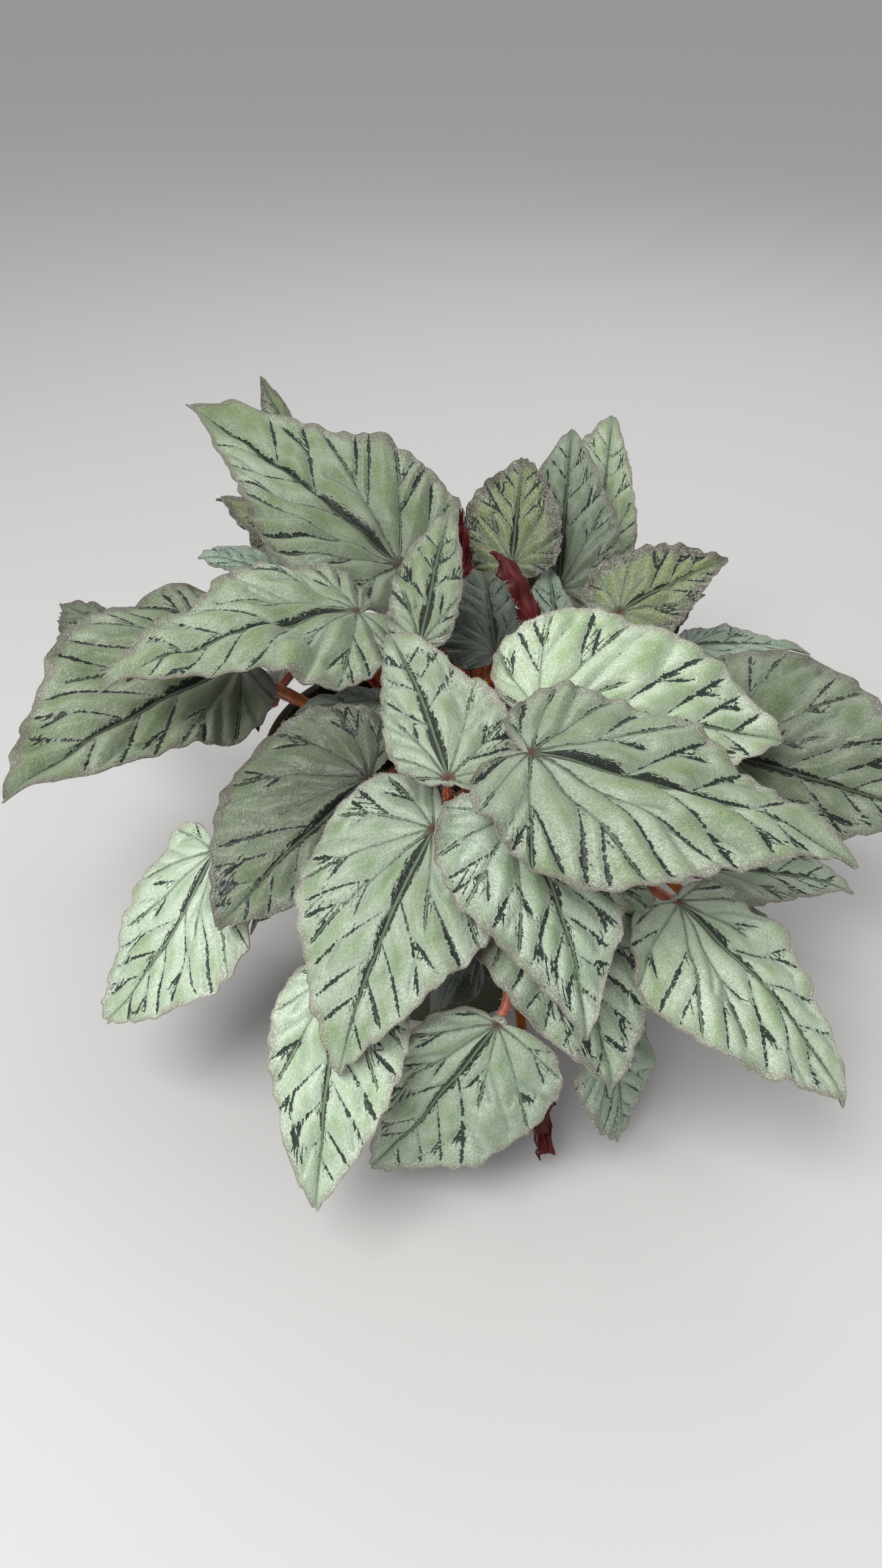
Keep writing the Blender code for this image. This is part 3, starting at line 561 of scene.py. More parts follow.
def blade_surface(blade, settings, draw):
    """Upper face on a grid of shares and margin points, and the fields that its looks need.

    Flat point = share * reach(turn) * length at the angle turn = 180 * run ^ crowding. The
    reach carries round lobes, |sin| ^ LOBE_BLUNTNESS, and teeth, |sin|. The point is placed
    by arc_point, then lifted by ruffles and flutter towards the margin, by the swelling
    between the veins, 1 - e ^ -(distance to a vein / pucker_width) ^ PILLOW_POWER less its
    mean, and by wrinkles, which are smooth random waves.
    """
    along, left, face, length = blade_frame(blade)
    red = blade.name in RED_BLADES
    cell = settings.cell * 1.0
    half = max(int(GRID_COLUMNS * length / cell), LEAST_COLUMNS)
    rings = max(int(GRID_RINGS * length / cell), LEAST_RINGS)
    run = np.linspace(0, 1, half + 1)
    runs = np.concatenate((run, run[-2:0:-1]))
    side = np.concatenate((np.ones(half + 1), -np.ones(half - 1)))
    turn = 180.0 * runs ** MARGIN_CROWDING
    reach = np.where(side > 0, half_outline(blade, blade.left, turn),
                     half_outline(blade, blade.right, turn))
    body_fade = np.clip(reach / RUFFLED_REACH, 0, 1)
    off_tip = np.clip(turn / TIP_CALM_DEG, 0, 1)
    waves = np.sin(RUFFLES_A_SIDE * FULL_TURN * runs + side) * body_fade * off_tip
    teeth = settings.teeth * length / (length + TEETH_LENGTH)
    cycle = np.abs(np.sin(math.pi * teeth * runs + draw.uniform(0, 3, 2)[(side < 0) * 1]))
    lobes = np.abs(np.sin(math.pi * settings.scallops * runs + LOBE_SHIFT * side))
    reach = reach * (1 + LOBE_DEPTH * (lobes ** LOBE_BLUNTNESS - LOBE_MEAN) * body_fade)
    tooth = settings.tooth_depth * (RED_TEETH if red else 1.0)
    reach = reach + tooth / length * (0.5 - cycle) * body_fade
    share = np.linspace(0, 1, rings + 1)[1:, None]
    angle = np.radians(turn)
    x = share * (reach * length * np.cos(angle))
    y = share * (reach * length * np.sin(angle) * side * blade.width)
    flat = np.stack((x, y), axis=-1)
    fields = np.zeros((4, *x.shape))
    for which in (1, -1):
        pick = side == which
        values = vein_fields(flat[:, pick].reshape(-1, 2), half_veins(blade, which, draw))
        fields[:, :, pick] = np.reshape(values, (4, len(x), -1))
    signed, gap, wide, rank = fields
    flutter = np.sin(settings.scallops * math.pi * runs + draw.uniform(0, 6))
    flutter = settings.flutter * flutter * body_fade * off_tip
    pillow = 1 - np.exp(-(gap / settings.pucker_width) ** PILLOW_POWER)
    from_joint = np.hypot(x, y)
    calm = np.clip(from_joint / CALM_REACH, 0, 1)
    swell = settings.pucker_height * min(MOST_SWELL, LEAST_SWELL + length / SWELL_LENGTH)
    swell = swell * (1 + YOUNG_SWELL * blade.tone[0])
    height, wave = RED_WRINKLES if red else WRINKLES
    px, py, pz = arc_point(blade, length, x, y)
    pz = pz + (blade.ruffle * waves * share ** 2 + flutter * share ** 4) * length
    pz = pz + swell * (pillow - MEAN_PILLOW) * calm
    pz = pz + height * swell * smooth_waves(flat, wave, draw) * calm
    places = (blade.joint + px[..., None] * along + py[..., None] * left
              + pz[..., None] * face)
    rim = (1 - share) * reach * length
    offset = draw.uniform(-1, 1, 2) * 0.5
    return places, {
        "flat": (field((0, 0, length), x, y, rim) + (*offset, 0)) / MM,
        "veins": field((0, 0, 1.0), signed / MM, gap / MM, wide),
        "relief": field((RIB_RANK, 0, 0), rank, from_joint / MM, 0 * x),
        "tone": np.tile(blade.tone[:3], (1 + x.size, 1)),
    }


def ring_quads(rings, columns, first):
    """Squares between neighbouring rings of points, the first of which has this number."""
    i = np.arange(columns)
    j = (i + 1) % columns
    ring = np.arange(rings - 1)[:, None] * columns + first
    quads = np.stack((ring + i, ring + j, ring + columns + j, ring + columns + i), axis=-1)
    return quads.reshape(-1, 4)


def fan(pole, first, columns):
    """Triangles between a pole and the ring of points that begins with the first one."""
    i = np.arange(columns)
    return np.stack((0 * i + pole, first + i, first + (i + 1) % columns), axis=1)


def face_normals(places):
    """Unit normals of a ring grid: across the rings cross along them."""
    out = np.gradient(places, axis=0)
    round_ring = np.roll(places, -1, axis=1) - np.roll(places, 1, axis=1)
    return unit(np.cross(out, round_ring) + 1e-12)


def make_mesh(name, points, corner_lists, materials, sharp_deg=None, slots=None, fields=None):
    """Object at the origin from whole arrays of points, faces, material slots and fields.

    It is shaded smooth, with sharp edges where it bends by more than sharp_deg.
    """
    mesh = bpy.data.meshes.new(name)
    loops = np.concatenate([c.ravel() for c in corner_lists]).astype(np.int32)
    sizes = np.concatenate([np.full(len(c), c.shape[1]) for c in corner_lists])
    mesh.vertices.add(len(points))
    mesh.vertices.foreach_set("co", np.asarray(points, dtype=np.float32).ravel())
    mesh.loops.add(len(loops))
    mesh.loops.foreach_set("vertex_index", loops)
    mesh.polygons.add(len(sizes))
    starts = np.concatenate(((0,), np.cumsum(sizes)[:-1])).astype(np.int32)
    mesh.polygons.foreach_set("loop_start", starts)
    if slots is not None:
        mesh.polygons.foreach_set("material_index", np.asarray(slots, dtype=np.int32))
    for key, values in (fields or {}).items():
        layer = mesh.attributes.new(key, "FLOAT_VECTOR", "POINT")
        layer.data.foreach_set("vector", np.asarray(values, dtype=np.float32).ravel())
    mesh.update(calc_edges=True)
    mesh.validate()
    for material in materials:
        mesh.materials.append(material)
    mesh.shade_smooth()
    obj = bpy.data.objects.new(name, mesh)
    bpy.context.scene.collection.objects.link(obj)
    if sharp_deg is not None:
        mesh.set_sharp_from_angle(angle=math.radians(sharp_deg))
    return obj


def finish_piece(obj, slot, *nodes):
    """Let a piece ride on the one body and hide the solids that it stands for; the slot is not
    used.
    """
    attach(obj, "root")
    if nodes:
        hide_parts(*nodes)


def blade_piece(blade, settings, materials, draw):
    """One blade as a closed thin sheet; its under side is the upper one moved inward."""
    places, fields = blade_surface(blade, settings, draw)
    rings, columns = places.shape[:2]
    up = face_normals(places)
    if np.mean(up @ blade_frame(blade)[2]) < 0:
        up = -up
    top = np.concatenate((blade.joint[None, :], places.reshape(-1, 3)))
    start = unit(up[0].mean(axis=0))
    lift = np.concatenate((start[None, :], up.reshape(-1, 3)))
    bottom = top - lift * settings.thickness
    middle = fan(0, 1, columns)
    quads = ring_quads(rings, columns, 1)[:, (0, 3, 2, 1)]
    shift = len(top)
    edge = shift - columns + np.arange(columns)
    after = np.roll(edge, -1)
    wall = np.stack((edge, edge + shift, after + shift, after), axis=1)
    faces = [middle, quads, middle[:, ::-1] + shift, quads[:, ::-1] + shift, wall]
    count = len(middle) + len(quads)
    both = {key: np.concatenate((value, value)) for key, value in fields.items()}
    obj = make_mesh("leaf_" + blade.name, np.concatenate((top, bottom)), faces, materials,
                    SHARP_DEG, np.repeat((0, 1, 0), (count, count, columns)), both)
    finish_piece(obj, "leaf", "blade_" + blade.name)
    return places[-1], places[-2]


def cubic(corners, steps):
    """Points along the cubic curve of four control points."""
    t = np.linspace(0, 1, steps)[:, None]
    start, first, second, end = corners
    return ((1 - t) ** 3 * start + 3 * t * (1 - t) ** 2 * first
            + 3 * t * t * (1 - t) * second + t ** 3 * end)


def clears_rim(path):
    """Whether a path passes well above the pot's rim wherever it crosses it."""
    reach = np.hypot(path[:, 0], path[:, 1]) / MM
    over = np.abs(reach - POT_RIM_RADIUS + LIP_STEP / 2) < RIM_PASS_REACH
    low = path[:, 2] / MM < POT_HEIGHT + RIM_PASS_HEIGHT
    return not np.any(over & low)


def stalk_path(blade):
    """Cubic curve from the rhizome's nearest arm over the rim to the blade's joint."""
    heading = math.atan2(blade.joint[1], blade.joint[0])
    step = FULL_TURN / RHIZOME_ARMS
    arm = step * round(heading / step) + math.radians(ARM_TURN)
    apart = SCAR_SPACING * math.sin(heading * SCARS_A_TURN)
    out = STALK_ROOT_SHARE * math.hypot(blade.joint[0], blade.joint[1]) / MM
    reach = max(min(out, RHIZOME_ARM) + apart, SCAR_SPACING)
    height = SOIL_TOP + SOIL_MOUND + RHIZOME_RADIUS
    start = MM * np.array((reach * math.cos(arm), reach * math.sin(arm), height))
    along, _, face, _ = blade_frame(blade)
    tilt = math.radians(blade.arch) / 2
    up = math.cos(tilt) * face - math.sin(tilt) * along
    lean = math.radians(blade.lean)
    leave = -(math.cos(lean) * up + math.sin(lean) * along)
    end = blade.joint - up * STALK_END_DEPTH * MM
    span = np.linalg.norm(end - start)
    outward = unit(np.array((end[0] - start[0], end[1] - start[1], 0.0)))
    rise = unit(np.array((0.0, 0.0, 1.0)) + STALK_OUTWARD * outward)
    neck = end + leave * STALK_NECK * MM
    first = start + rise * STALK_RISE_SHARE * span
    second = neck + leave * min(STALK_SWEEP_SHARE * span, STALK_SWEEP * MM)
    raised = np.array((0.0, 0.0, RIM_LIFT * MM))
    for _ in range(RIM_LIFTS):
        if clears_rim(cubic((start, first, second, neck), RIM_LOOK_STEPS)):
            break
        first = first + raised
        second = second + raised
    count = len(NECK_TAPER)
    tail = neck + (end - neck) * np.linspace(1 / count, 1, count)[:, None]
    return np.concatenate((cubic((start, first, second, neck), STALK_STEPS), tail))


def rings_round(ways, hint, sides):
    """Unit vectors square to each way and evenly turned round it: side cos a + over sin a.

    The hint is any way that none of them follows.
    """
    side = unit(np.cross(ways, hint))
    over = np.cross(ways, side)
    turns = np.arange(sides) * FULL_TURN / sides
    return (np.cos(turns)[None, :, None] * side[:, None, :]
            + np.sin(turns)[None, :, None] * over[:, None, :])


def tube_grid(path, radii, sides):
    """Rings of points round a path, square to it, and their unit vectors outward."""
    ring = rings_round(unit(np.gradient(path, axis=0)), (0.37, 0.61, 0.70), sides)
    return path[:, None, :] + ring * np.asarray(radii)[:, None, None], ring


def tube_faces(steps, sides, shift):
    """Squares between rings and one closing face at each end."""
    i = np.arange(sides)
    first = (shift + i)[::-1][None, :]
    last = (shift + (steps - 1) * sides + i)[None, :]
    return ring_quads(steps, sides, shift), first, last


def hair_mesh(roots, ways, lengths, radius):
    """Hairs as thin three-sided spikes: root + radius round the way, up to root + way."""
    ways = unit(ways)
    base = roots[:, None, :] + radius * rings_round(ways, (0.31, -0.52, 0.79), 3)
    tip = (roots + ways * lengths[:, None])[:, None, :]
    points = np.concatenate((base, tip), axis=1).reshape(-1, 3)
    first = np.arange(len(roots))[:, None] * 4
    faces = np.concatenate([first + np.array(f) for f in
                            ((0, 1, 3), (1, 2, 3), (2, 0, 3), (2, 1, 0))])
    return points, faces


def margin_hairs(rim, inner, spacing, length, draw):
    """Roots, ways and lengths of hairs along a margin: outward, with a random spread."""
    after = np.roll(rim, -1, axis=0)
    steps = np.linalg.norm(after - rim, axis=1)
    count = int(steps.sum() / spacing)
    at = np.sort(draw.uniform(0, steps.sum(), count))
    index = np.searchsorted(np.cumsum(steps), at).clip(0, len(rim) - 1)
    share = draw.uniform(0, 1, (count, 1))
    roots = rim[index] + share * (after - rim)[index]
    ways = unit(rim - inner)[index] + MARGIN_HAIR_SCATTER * draw.normal(size=(count, 3))
    roots = roots - unit(ways) * MARGIN_HAIR_ROOT
    return roots, ways, length * draw.uniform(*MARGIN_HAIR_LENGTHS, count)


def lathe(profile, sides):
    """Closed body turned round the Z axis: (r cos a, r sin a, z), with poles at its ends."""
    profile = np.asarray(profile, dtype=float) * MM
    turns = np.arange(sides) * FULL_TURN / sides
    ring = np.stack((np.cos(turns), np.sin(turns)), axis=1)
    inner = profile[1:-1]
    rings = np.concatenate((inner[:, None, :1] * ring[None, :, :],
                            np.broadcast_to(inner[:, None, 1:], (len(inner), sides, 1))),
                           axis=2)
    poles = np.array([((0.0, 0.0, profile[end, 1]),) for end in (0, -1)])
    points = np.concatenate((poles[0], rings.reshape(-1, 3), poles[1]))
    pole = len(points) - 1
    return points, [fan(0, 1, sides)[:, (0, 2, 1)], ring_quads(len(inner), sides, 1),
                    fan(pole, pole - sides, sides)]


def pot_radius(height):
    """Outer radius of the pot's sloping wall at a height."""
    slope = (POT_RIM_RADIUS - LIP_STEP - POT_BASE_RADIUS) / (POT_HEIGHT - LIP_HEIGHT)
    return POT_BASE_RADIUS + slope * min(height, POT_HEIGHT - LIP_HEIGHT)


def add(tree, kind, inputs=None, give=0, **settings):
    """Add a node, set its settings and its inputs (values or links), give one output or all."""
    node = tree.nodes.new(kind)
    for key, value in settings.items():
        setattr(node, key, value)
    for key, value in (inputs or {}).items():
        if isinstance(value, bpy.types.NodeSocket):
            tree.links.new(value, node.inputs[key])
        elif isinstance(value, tuple) and len(value) == 3 and node.inputs[key].type == "RGBA":
            node.inputs[key].default_value = (*value, 1.0)
        else:
            node.inputs[key].default_value = value
    return node.outputs if give is None else node.outputs[give]


MATH, RAMP, MIX = "ShaderNodeMath", "ShaderNodeMapRange", "ShaderNodeMix"
NOISE, CELLS, BUMP = "ShaderNodeTexNoise", "ShaderNodeTexVoronoi", "ShaderNodeBump"
PLACE, SCALE = "ShaderNodeTexCoord", "ShaderNodeVectorMath"
FIELD, SPLIT = "ShaderNodeAttribute", "ShaderNodeSeparateXYZ"
# For each kind of node in a table: the setting that a row's last word gives, the inputs that
# the row's values fill in order, and the output that is used
KINDS = {
    MATH: ("operation", (0, 1, 2), 0),
    RAMP: ("interpolation_type", (0, 1, 2, 3, 4), 0),
    MIX: ("data_type", (0, 6, 7), 2),
    NOISE: ("noise_dimensions", ("Vector", "Scale", "Detail"), 0),
    CELLS: ("voronoi_dimensions", ("Vector", "Scale"), 0),
    BUMP: ("invert", ("Strength", "Distance", "Height"), 0),
    PLACE: ("from_instancer", (), "Object"),
    SCALE: ("operation", (0, 3), 0),
}
# The blades' fields and what their three values are
FACE_FIELDS = (("flat", ("x", "y", "rim")), ("veins", ("signed", "gap", "wide")),
               ("relief", ("rank", "from_joint")), ("tone", ("young", "shade", "dim")))


def new_material(name, settings=None, rows=(), fields=(), **sockets):
    """Principled material with plain socket values and the nodes of a table of rows.

    A row is a name, a kind of node, its inputs in order and its setting. An input may name a
    colour of the settings, a field or one of its three values, or the output of a row before.
    An output that is named like a socket of the shader is linked to it.
    """
    material = bpy.data.materials.new(name)
    material.use_nodes = True
    tree = material.node_tree
    shader = tree.nodes["Principled BSDF"]
    for key, value in sockets.items():
        shader.inputs[key.replace("_", " ")].default_value = value
    known = {key: getattr(settings, key)[:] for key in getattr(settings, "__annotations__", ())
             if key.endswith("colour")}
    for key, names in fields:
        known[key] = add(tree, FIELD, give="Vector", attribute_name=key)
        known.update(zip(names, add(tree, SPLIT, {0: known[key]}, give=None)))
    for key, kind, values, way in rows:
        setting, order, give = KINDS[kind]
        inputs = dict(zip(order, (known.get(value, value) for value in values)))
        known[key] = add(tree, kind, inputs, give, **{setting: way})
        if key in shader.inputs:
            tree.links.new(known[key], shader.inputs[key])
    return material


# Wavelengths in mm of the noises on a blade: patches of green, breaks in a stroke, wrinkles,
# a stroke's jagged edge, and the skin cells, each with a painted glint on its top and painted
# shade in its hollow, drawn 0.8 mm wide so that they show
FACE_NOISES = (("patches", 20.0), ("breaks", 12.0), ("wrinkles", 6.0), ("jags", 2.0),
               ("grain", 0.8))
FACE_ROWS = (
    *((name, NOISE, ("flat", 1 / wave, 1.0), "3D") for name, wave in FACE_NOISES),
    # Pale dots left inside the dark strokes, 2.2 mm apart
    ("dots", CELLS, ("flat", 1 / 2.2), "3D"),
    # Silver beside the veins, green in the middle of the swellings
    ("spread", MATH, ("patches", 14.0, "gap"), "MULTIPLY_ADD"),
    ("mottle", MATH, ("grain", 9.0, "spread"), "MULTIPLY_ADD"),
    ("mottle", MATH, ("mottle", 2.0), "SUBTRACT"),
    ("green", RAMP, ("mottle", 9.5, 17.5, 0.1, 0.85), "SMOOTHSTEP"),
    # Painted glints: the tops of the skin cells lightened, less on the green patches
    ("bright", RAMP, ("grain", 0.5, 0.66, 0.0, 0.8), "SMOOTHSTEP"),
    ("dull", RAMP, ("green", 0.0, 1.0, 1.0, 0.4), "LINEAR"),
    ("speckle", MATH, ("bright", "dull"), "MULTIPLY"),
    # Painted shade in the hollows between the skin cells
    ("hollow", RAMP, ("grain", 0.3, 0.48, 0.4, 0.0), "SMOOTHSTEP"),
    # Darker green along the veins: partly their own colour, partly painted shade in their sunken
    # grooves
    ("groove", RAMP, ("gap", 0.2, 1.4, 0.5, 0.0), "SMOOTHSTEP"),
    # Margin of uneven width, wider and browner on a young blade
    ("fringe", MATH, ("breaks", 9.0, "rim"), "MULTIPLY_ADD"),
    ("fringe", MATH, ("young", -4.0, "fringe"), "MULTIPLY_ADD"),
    ("mauve", RAMP, ("fringe", 4.0, 11.0, 0.72, 0.0), "SMOOTHSTEP"),
    ("brown", MATH, ("mauve", "young"), "MULTIPLY"),
    ("edge", RAMP, ("rim", 0.3, 1.0, 0.6, 0.0), "SMOOTHSTEP"),
    # Strokes: dark where the distance from the vein is under the stroke's half width, which
    # the noises make ragged and, except along the midrib, break up. Where two veins are
    # nearest in turn, the signed distance passes zero between them: there the plain distance
    # stays larger, and no stroke is drawn
    ("away", MATH, ("signed",), "ABSOLUTE"),
    ("ragged", MATH, ("jags", 0.5), "SUBTRACT"),
    ("not_rib", RAMP, ("rank", 1.2, 1.8, 1.0, 0.0), "LINEAR"),
    ("broken", MATH, ("breaks", 0.5), "SUBTRACT"),
    ("broken", MATH, ("broken", "not_rib"), "MULTIPLY"),
    ("tatter", MATH, ("wide", "ragged"), "MULTIPLY"),
    ("half", MATH, ("tatter", 1.4, "wide"), "MULTIPLY_ADD"),
    ("half", MATH, ("ragged", 1.0, "half"), "MULTIPLY_ADD"),
    ("half", MATH, ("broken", 1.5, "half"), "MULTIPLY_ADD"),
    ("inside", MATH, ("half", "away"), "SUBTRACT"),
    ("dark", RAMP, ("inside", -0.1, 0.12, 0.0, 0.95), "SMOOTHSTEP"),
    ("doubt", MATH, ("gap", "away"), "SUBTRACT"),
    ("sure", RAMP, ("doubt", 1.3, 1.6, 1.0, 0.0), "SMOOTHSTEP"),
    ("dark", MATH, ("dark", "sure"), "MULTIPLY"),
    ("beside_dots", RAMP, ("dots", 0.14, 0.2, 0.0, 1.0), "SMOOTHSTEP"),
    ("dark", MATH, ("dark", "beside_dots"), "MULTIPLY"),
    # The main veins' own pale lines
    ("line", MATH, ("rank", 0.2, 0.12), "MULTIPLY_ADD"),
    ("line", MATH, ("line", "away"), "SUBTRACT"),
    ("line", RAMP, ("line", -0.12, 0.12, 0.0, 1.0), "SMOOTHSTEP"),
    ("is_main", MATH, ("rank", 1.0), "MINIMUM"),
    ("line", MATH, ("line", "is_main"), "MULTIPLY"),
    ("fade", RAMP, ("from_joint", 30.0, 90.0, 0.9, 0.45), "LINEAR"),
    ("line", MATH, ("line", "fade"), "MULTIPLY"),
    # Red star at the joint, longest along the veins
    ("rays", MATH, ("away", 2.6, "from_joint"), "MULTIPLY_ADD"),
    ("star", RAMP, ("rays", 0.2, 5.0, 0.9, 0.0), "SMOOTHSTEP"),
    # Painted shade: a blade deep in the plant has its colour darkened for the light that it
    # lacks, the most beside its joint; a blade with a tone under 0 gets painted light instead
    ("depth", RAMP, ("from_joint", 10.0, 90.0, 1.4, 0.7), "LINEAR"),
    ("dim", MATH, ("dim", "depth"), "MULTIPLY"),
    ("light", MATH, (1.0, "dim"), "SUBTRACT"),
    # Fine relief: skin cells, wrinkles and the sunken veins
    ("ridge", RAMP, ("gap", 0.0, 2.6, 0.0, 2.0), "SMOOTHSTEP"),
    ("height", MATH, ("jags", 0.6, "grain"), "MULTIPLY_ADD"),
    ("height", MATH, ("wrinkles", 2.5, "height"), "MULTIPLY_ADD"),
    ("height", MATH, ("height", "ridge"), "ADD"),
    # Colours laid over the silver one after the other
    ("colour", MIX, ("green", "silver_colour", "green_colour"), "RGBA"),
    *(("colour", MIX, (factor, "colour", above), "RGBA") for factor, above in (
        ("young", "young_colour"), ("shade", "shade_colour"), ("mauve", "margin_colour"),
        ("brown", "brown_colour"), ("speckle", "painted_glint_colour"), ("hollow", "vein_and_painted_shade_colour"),
        ("groove", "vein_and_painted_shade_colour"), ("edge", "rim_colour"), ("dark", "stroke_colour"),
        ("line", "rib_colour"), ("star", "star_colour"))),
    # The colour scaled by the blade's painted shade or painted light
    ("Base Color", SCALE, ("colour", "light"), "SCALE"),
    ("Normal", BUMP, (0.45, 0.0005, "height"), False),
)


def leaf_face_material(settings):
    """Living leaf, grown with air pockets under its skin: a silvery, finely grained sheen with
    painted glints on the skin cells and painted shade in their hollows, near-black strokes
    beside the veins, darker green along the veins that is partly painted shade, a greyish mauve
    margin, and painted shade on blades deep in the plant, painted light on a few others."""
    return new_material("begonia_leaf_face", settings, FACE_ROWS, FACE_FIELDS, Roughness=0.38,
                        IOR=1.42, Sheen_Weight=0.1, Sheen_Roughness=0.4)


def leaf_back_material(settings):
    """Under side of the leaf: deep crimson skin, darker in clouds of 9 mm, with felted,
    raised, paler veins and a felt of 1.2 mm."""
    rows = (
        ("clouds", NOISE, ("flat", 1 / 9.0, 3.0), "3D"),
        ("colour", MIX, ("clouds", "back_colour", linear("#3A0508")), "RGBA"),
        ("near", RAMP, ("gap", 0.3, 1.6, 0.55, 0.0), "LINEAR"),
        ("Base Color", MIX, ("near", "colour", linear("#6C1210")), "RGBA"),
        ("felt", NOISE, ("flat", 1 / 1.2, 3.0), "3D"),
        ("Normal", BUMP, (0.4, 0.0004, "felt"), False),
    )
    return new_material("begonia_leaf_back", settings, rows, FACE_FIELDS[:2], Roughness=0.6,
                        IOR=1.4)


def stalk_material(settings):
    """Watery hairy stalk: orange-brown to red or salmon, in spots of 6 mm, softly glossy."""
    rows = (
        ("place", PLACE, (), False),
        ("spots", NOISE, ("place", 180.0, 3.0), "3D"),
        ("colour", MIX, ("red", "orange_colour", "red_colour"), "RGBA"),
        ("colour", MIX, ("salmon", "colour", "salmon_colour"), "RGBA"),
        ("light", RAMP, ("spots", 0.42, 0.6, 0.8, 1.15), "LINEAR"),
        ("Base Color", SCALE, ("colour", "light"), "SCALE"),
        ("Normal", BUMP, (0.3, 0.0004, "spots"), False),
    )
    return new_material("begonia_stalk", settings, rows, (("trait", ("red", "salmon")),),
                        Roughness=0.38, IOR=1.4)


def hair_material():
    """Plant hair: clear, nearly white, catching the light at its edge."""
    return new_material("plant_hair", Roughness=0.35, IOR=1.4, Sheen_Weight=0.3,
                        Base_Color=(*linear("#D9D2C6"), 1.0))


def pot_material(settings):
    """Injection-moulded polypropylene: olive and satin, with mould texture of 0.4 mm and
    cloudy scuffs of 25 mm."""
    rows = (
        ("place", PLACE, (), False),
        ("texture", NOISE, ("place", 2500.0), "3D"),
        ("scuffs", NOISE, ("place", 40.0, 4.0), "3D"),
        ("Base Color", MIX, ("scuffs", "plastic_colour", linear("#4A4B34")), "RGBA"),
        ("Roughness", RAMP, ("scuffs", 0.0, 1.0, 0.34, 0.56), "LINEAR"),
        ("Normal", BUMP, (0.2, 0.0001, "texture"), False),
    )
    return new_material("moulded_polypropylene", settings, rows, Roughness=0.42, IOR=1.49)


def soil_material(settings):
    """Peaty potting soil: nearly black and dull, with crumbs of 2.5 mm and brown fibres."""
    rows = (
        ("place", PLACE, (), False),
        ("crumbs", CELLS, ("place", 400.0), "3D"),
        ("tones", NOISE, ("place", 300.0, 5.0), "3D"),
        ("Base Color", MIX, ("tones", "peat_colour", linear("#3B2A1C")), "RGBA"),
        ("Normal", BUMP, (0.9, 0.002, "crumbs"), False),
    )
    return new_material("peat_soil", settings, rows, Roughness=0.95)


def colour(name, description, hex_colour):
    """Colour that a user may change, with its default in sRGB."""
    return bpy.props.FloatVectorProperty(
        name=name, description=description, subtype="COLOR", min=0.0, max=1.0,
        default=linear(hex_colour))


def number(name, description, default, low, high, unit="NONE"):
    """Number that a user may change, its range and its unit."""
    return bpy.props.FloatProperty(name=name, description=description, unit=unit,
                                   default=default, min=low, max=high)


def whole(name, description, default, low, high):
    """Whole number that a user may change, and its range."""
    return bpy.props.IntProperty(name=name, description=description, default=default,
                                 min=low, max=high)


class PotSettings(bpy.types.PropertyGroup):
    """Sizes and colour of the pot."""
    plastic_colour: colour("Plastic", "Colour of the moulded plastic", "#3E4030")
    sides: whole("Sides", "Facets round the pot", 128, 16, 256)


class SoilSettings(bpy.types.PropertyGroup):
    """Colour and roughness of the soil's surface."""
    peat_colour: colour("Peat", "Colour of the damp peat", "#17110C")
    lumps: number("Lumps", "Height of the soil's lumps", 0.0012, 0.0, 0.003, "LENGTH")


class StalkSettings(bpy.types.PropertyGroup):
    """Sizes and colours of the leaf stalks and the rhizome."""
    base_radius: number("Base radius", "Radius of a stalk at the rhizome",
                        0.0027, 0.001, 0.005, "LENGTH")
    top_radius: number("Top radius", "Radius of a stalk near its blade",
                       0.0019, 0.0005, 0.004, "LENGTH")
    orange_colour: colour("Orange", "Colour of the sunlit stalks", "#A85F1E")
    red_colour: colour("Red", "Colour of the deep red stalks", "#8E1E14")
    salmon_colour: colour("Salmon", "Colour of the pale stalks in front", "#C4735A")


